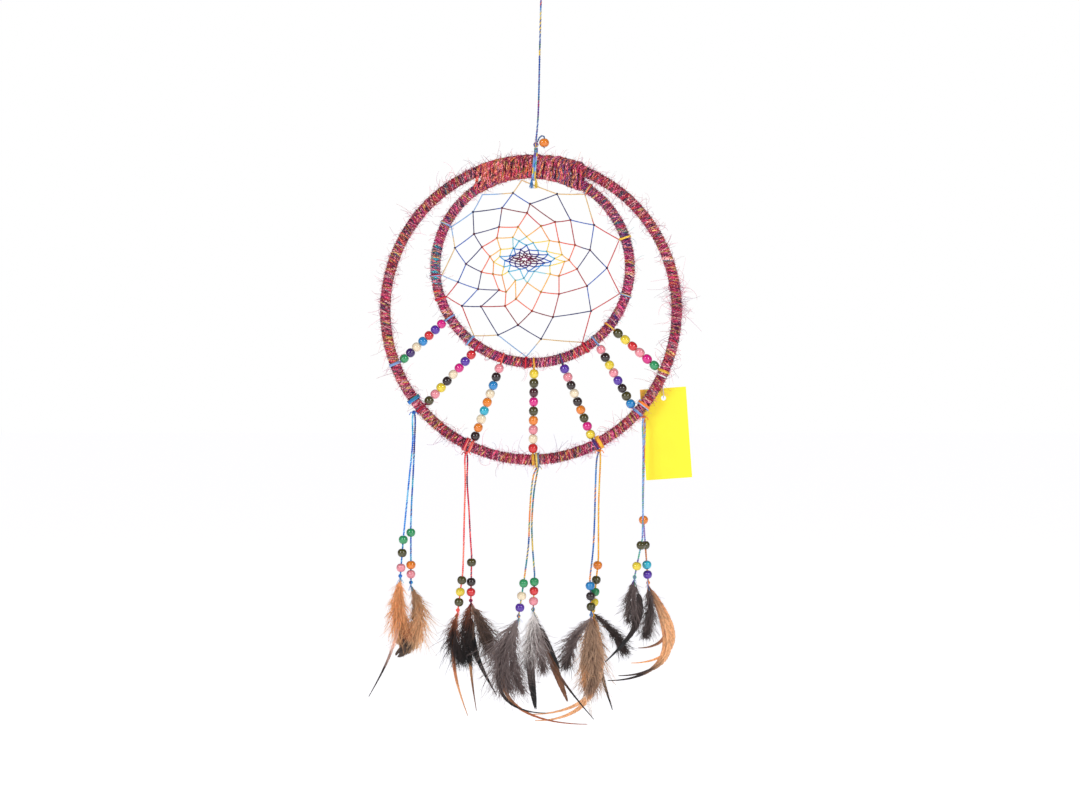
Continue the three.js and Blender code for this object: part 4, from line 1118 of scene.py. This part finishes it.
# Each feather: its tip from the quill, bow, width, kind, colours, barbs a side, and how low
# down it is widest (about 0.8 for its middle, more for further down).
FEATHERS = {
    (1, "left"): [
        ((4.7, -52), -4, 23, "half", (ORANGE_TAN, ORANGE_TAN, DARK, TAN), 380, 1.2),
        ((6, -47), -2, 16, "down", (ORANGE_TAN, TAN, RUST, ORANGE_TAN), 220, 1.2),
        ((-25.3, -94.9), 9, 5, "sickle", (PINKISH, PINKISH, BLACK, PINKISH), 110, 0.9),
    ],
    (1, "right"): [
        ((-9, -54), 11, 23, "half", (BROWN, TAN, DARK, PEACH), 380, 1.2),
        ((-1, -40), 3, 9, "down", (PINKISH, BROWN, RUST, PEACH), 90, 1.0),
    ],
    (2, "left"): [
        ((3.5, -38), -5, 20, "down", (RUST, DARK, BLACK, DARK), 260, 1.0),
        ((8.2, -82.7), -7, 5, "sickle", (TAN, RUST, TAN, PALE_TAN), 100, 0.8),
    ],
    (2, "right"): [
        ((20.6, -73.8), -7, 8, "sickle", (BLACK, BLACK, BLACK, BLACK), 150, 0.8),
        ((14, -34), 1, 24, "down", (GREY_BROWN, DARK, DARK, GREY_BROWN), 280, 1.1),
        ((-2, -44), -3, 20, "down", (RUST, DARK, BLACK, DARK), 240, 1.1),
        ((4.5, -86.6), -3, 5, "sickle", (TAN, TAN, BROWN, PALE_TAN), 100, 0.8),
        ((22, -62), 5, 6, "sickle", (TAN, TAN, RUST, PALE_TAN), 80, 1.0),
    ],
    (3, "left"): [
        ((-8.3, -53.7), -8, 30, "down", (GREY, DARK_GREY, DARK_GREY, GREY), 360, 0.9),
        ((3, -58), -6, 20, "down", (GREY, DARK_GREY, DARK_GREY, GREY), 240, 1.0),
        ((22, -75), -18, 5, "arc", (DARK, DARK, BLACK, DARK), 220, 0.8),
        ((56, -84), -17, 5, "arc", (DARK, BROWN, RUST, TAN), 240, 0.8),
    ],
    (3, "right"): [
        ((1.8, -75.9), -3, 12, "vane", (WHITE, DARK_GREY, BLACK, BLACK), 170, 1.7),
        ((-3, -44), 0, 20, "down", (WHITE, PALE_GREY, DARK_GREY, WHITE), 320, 0.8),
        ((8, -46), 1, 18, "down", (WHITE, GREY, DARK_GREY, GREY), 220, 1.1),
        ((27.1, -70.7), 0, 11, "vane", (DARK, BROWN, BROWN, DARK), 170, 1.5),
        ((21.1, -45.1), 0, 7, "vane", (DARK_GREY, DARK, BLACK, BLACK), 110, 1.3),
        ((48.7, -86.3), -8, 4, "sickle", (DARK, BROWN, BLACK, BLACK), 110, 1.2),
    ],
    (4, "left"): [
        ((-1.1, -57.8), 2, 26, "down", (GREY_BROWN, GREY_BROWN, GREY_BROWN, PALE_TAN), 360, 0.95),
        ((-5, -56), -3, 14, "down", (GREY_BROWN, GREY_BROWN, TAN, PALE_TAN), 180, 0.9),
        ((-20, -37.8), -4, 20, "down", (GREY, DARK_GREY, DARK, GREY), 260, 1.0),
        ((0, -79.4), -4, 12, "vane", (PINKISH, PINKISH, WHITE, PALE_TAN), 150, 1.4),
    ],
    (4, "right"): [
        ((-47, -86), 6, 8, "arc", (BROWN, TAN, TAN, PALE_TAN), 300, 0.8),
        ((-52, -81), 9, 7.5, "arc", (TAN, PALE_TAN, TAN, PALE_TAN), 280, 0.8),
        ((15.5, -77.4), -3, 6, "sickle", (DARK, DARK, BLACK, BLACK), 110, 1.2),
        ((25, -30), 3, 15, "down", (DARK_GREY, DARK, DARK, DARK_GREY), 260, 1.3),
        ((1, -52), 3, 17, "down", (GREY_BROWN, GREY_BROWN, BROWN, PALE_TAN), 260, 1.0),
    ],
    (5, "left"): [
        ((0.9, -39), -1, 15, "down", (DARK_GREY, DARK_GREY, DARK, GREY), 200, 0.8),
        ((-5, -33), -2, 12, "down", (DARK_GREY, DARK, DARK, GREY), 120, 1.0),
        ((-22.9, -65.6), 14, 8, "sickle", (DARK, DARK, BLACK, BLACK), 150, 1.0),
    ],
    (5, "right"): [
        ((-1.9, -40.6), 2, 17, "down", (DARK_GREY, DARK, DARK, GREY), 240, 0.9),
        ((-24, -72), 19, 7, "arc", (BROWN, TAN, DARK, PALE_TAN), 240, 1.0),
        ((-33, -76), 16, 6, "arc", (BROWN, TAN, BLACK, RUST), 220, 1.1),
        ((-14, -62), 21, 6, "arc", (RUST, TAN, ORANGE_TAN, PALE_TAN), 200, 0.9),
        ((-8, -50), 15, 6, "arc", (DARK, RUST, BROWN, PALE_TAN), 160, 0.9),
    ],
}
plume = Finish("feather_barbs", Roughness=0.6, Sheen_Weight=0.08, Sheen_Roughness=0.3)
barred = plume.noise(plume.place(), 340, 2.0, (1, 1, 1.6))
fine = plume.noise(plume.own("lay", "Vector"), 2600, 1.0, (0.3, 1, 1))
bars = plume.mix(barred, (0.72, 0.7, 0.7, 1), (1.25, 1.22, 1.2, 1))
plume.vary("Base Color", plume.mix(1.0, plume.own("tone"), bars, "MULTIPLY"))
plume.vary("Roughness", 0.45 + fine * 0.3)
plume.bump(fine, 0.05 * MM, 0.4)
for strand in hung:
    lines, radii, tones = [], [], []
    bundle = FEATHERS[strand["number"], strand["side"]]
    for number, (tip, bow, width, kind, dyes, barbs, low) in enumerate(bundle):
        quill = strand["quill"] + (0, 0.5 * number, 0)
        some = feather(rng, quill, tip, bow, width, kind, dyes, barbs, low)
        lines += some[0]
        radii += some[1]
        tones += some[2]
    label = f"pendant_{strand['number']}_{strand['side']}"
    piece(strands(label + "_plumes", lines, radii, tones, sides=4), plume,
          f"pendant_{strand['number']}", "feathers", label + "_feathers")

# ---- The tag, its loop and its thread ----
# A thin yellow card with a punched hole, hung behind the outer hoop on white sewing thread that
# is looped round the hoop. Its face is plain but for a strip of deeper colour at one side.

TAG = {"width": 37, "height": 73, "thick": 0.6, "hole": 2, "hole_drop": 8, "drop": 17.7, "back": 8,
       "lean": 4}
STRIP_WIDTH = 3.4
TAG_ANGLE = 334
hoop_spot = on_hoop(OUTER, TAG_ANGLE)[0]
tag_hole = hoop_spot + (1.6, TAG["back"], -TAG["drop"])
right, left = TAG["width"] / 2, -TAG["width"] / 2
top, bottom = TAG["hole_drop"], TAG["hole_drop"] - TAG["height"]
card = bmesh.new()
bmesh.ops.create_circle(card, cap_ends=False, segments=48, radius=TAG["hole"])
rim = bmesh.ops.extrude_edge_only(card, edges=card.edges[:])["geom"]
corners = [math.atan2(z, x) for x, z in ((right, top), (left, top), (left, bottom), (right, bottom))]
for vert in [item for item in rim if isinstance(item, bmesh.types.BMVert)]:
    bearing = math.atan2(vert.co.y, vert.co.x)
    nearest = min(corners, key=lambda corner: abs(corner - bearing))
    bearing = nearest if abs(nearest - bearing) < math.pi / 49 else bearing
    x, z = math.cos(bearing), math.sin(bearing)
    reach = min((right if x > 0 else left) / x if abs(x) > 1e-6 else 1e6,
                (top if z > 0 else bottom) / z if abs(z) > 1e-6 else 1e6)
    vert.co = (x * reach, z * reach, 0)
bmesh.ops.subdivide_edges(card, edges=[edge for edge in card.edges if edge.calc_length() > 5], cuts=3,
                          use_grid_fill=True)
for vert in card.verts:
    vert.co = (vert.co.x, 0.7 * math.sin((vert.co.y - bottom) / TAG["height"] * 2.4) - 0.35, vert.co.y)
bmesh.ops.recalc_face_normals(card, faces=card.faces)
bmesh.ops.solidify(card, geom=card.faces[:], thickness=TAG["thick"] / 2)
bmesh.ops.rotate(card, verts=card.verts, matrix=Matrix.Rotation(math.radians(-TAG["lean"]), 3, "Y"))
bmesh.ops.translate(card, verts=card.verts, vec=tag_hole)
bmesh.ops.recalc_face_normals(card, faces=card.faces)
bmesh.ops.transform(card, matrix=Matrix.Scale(MM, 4), verts=card.verts)
card_mesh = bpy.data.meshes.new("yellow_tag")
card.to_mesh(card_mesh)
card.free()
card_stock = Finish("yellow_card", Coat_Weight=0.1, Coat_Roughness=0.5)
spot = card_stock.place()
pulp = card_stock.noise(spot, 900, 3.0)
smudge = card_stock.noise(spot, 35, 2.0)
yellow = card_stock.mix(smudge, (*seen(250, 232, 8), 1), (*seen(240, 216, 6), 1))
split = card_stock.node("ShaderNodeSeparateXYZ", {}, {"Vector": spot})
strip_edge = (tag_hole[0] + left + STRIP_WIDTH) * MM
strip = card_stock.node("ShaderNodeMath", {"operation": "LESS_THAN"}, {0: split, 1: strip_edge})
card_tone = card_stock.mix(strip * 0.75, yellow, (*seen(236, 150, 40), 1))
card_stock.vary("Base Color", card_stock.mix(pulp * 0.14, card_tone, (*seen(250, 240, 120), 1)))
card_stock.vary("Roughness", 0.45 + pulp * 0.25)
card_stock.bump(pulp, 0.04 * MM, 0.5)
piece(card_mesh, card_stock, "tag", "yellow_card", "tag")

white_cotton = spun_fibre("white_cotton", 1.05, 0.8)
WHITES = [seen(240, 238, 232), seen(226, 224, 220)]
tag_turns = thread_loop(OUTER, TAG_ANGLE, RING_CLEAR, 2.5, 1.2)
piece(strands("tag_loop_thread", [tag_turns], [0.35], [dyed(rng, len(tag_turns), WHITES, 8)]), white_cotton,
      "hoops", "white_thread", "tag_loop")
tag_top = hoop_spot + (0, OUTER["wrap"] + RING_CLEAR + LOOP_THREAD + 0.9, -0.5)
tag_line = smooth_line([
    tag_top, (tag_top[0] + 0.5, tag_hole[1] - 2, tag_hole[2] + 12),
    (tag_hole[0], tag_hole[1] - 1.4, tag_hole[2] + 2.4),
    tag_hole, (tag_hole[0], tag_hole[1] + 1.6, tag_hole[2] + 1.6),
], 0.4)
piece(plied(rng, "tag_hanging_thread", tag_line, 0.45, WHITES, pitch=2.4), white_cotton, "tag_thread",
      "white_thread", "tag_thread")
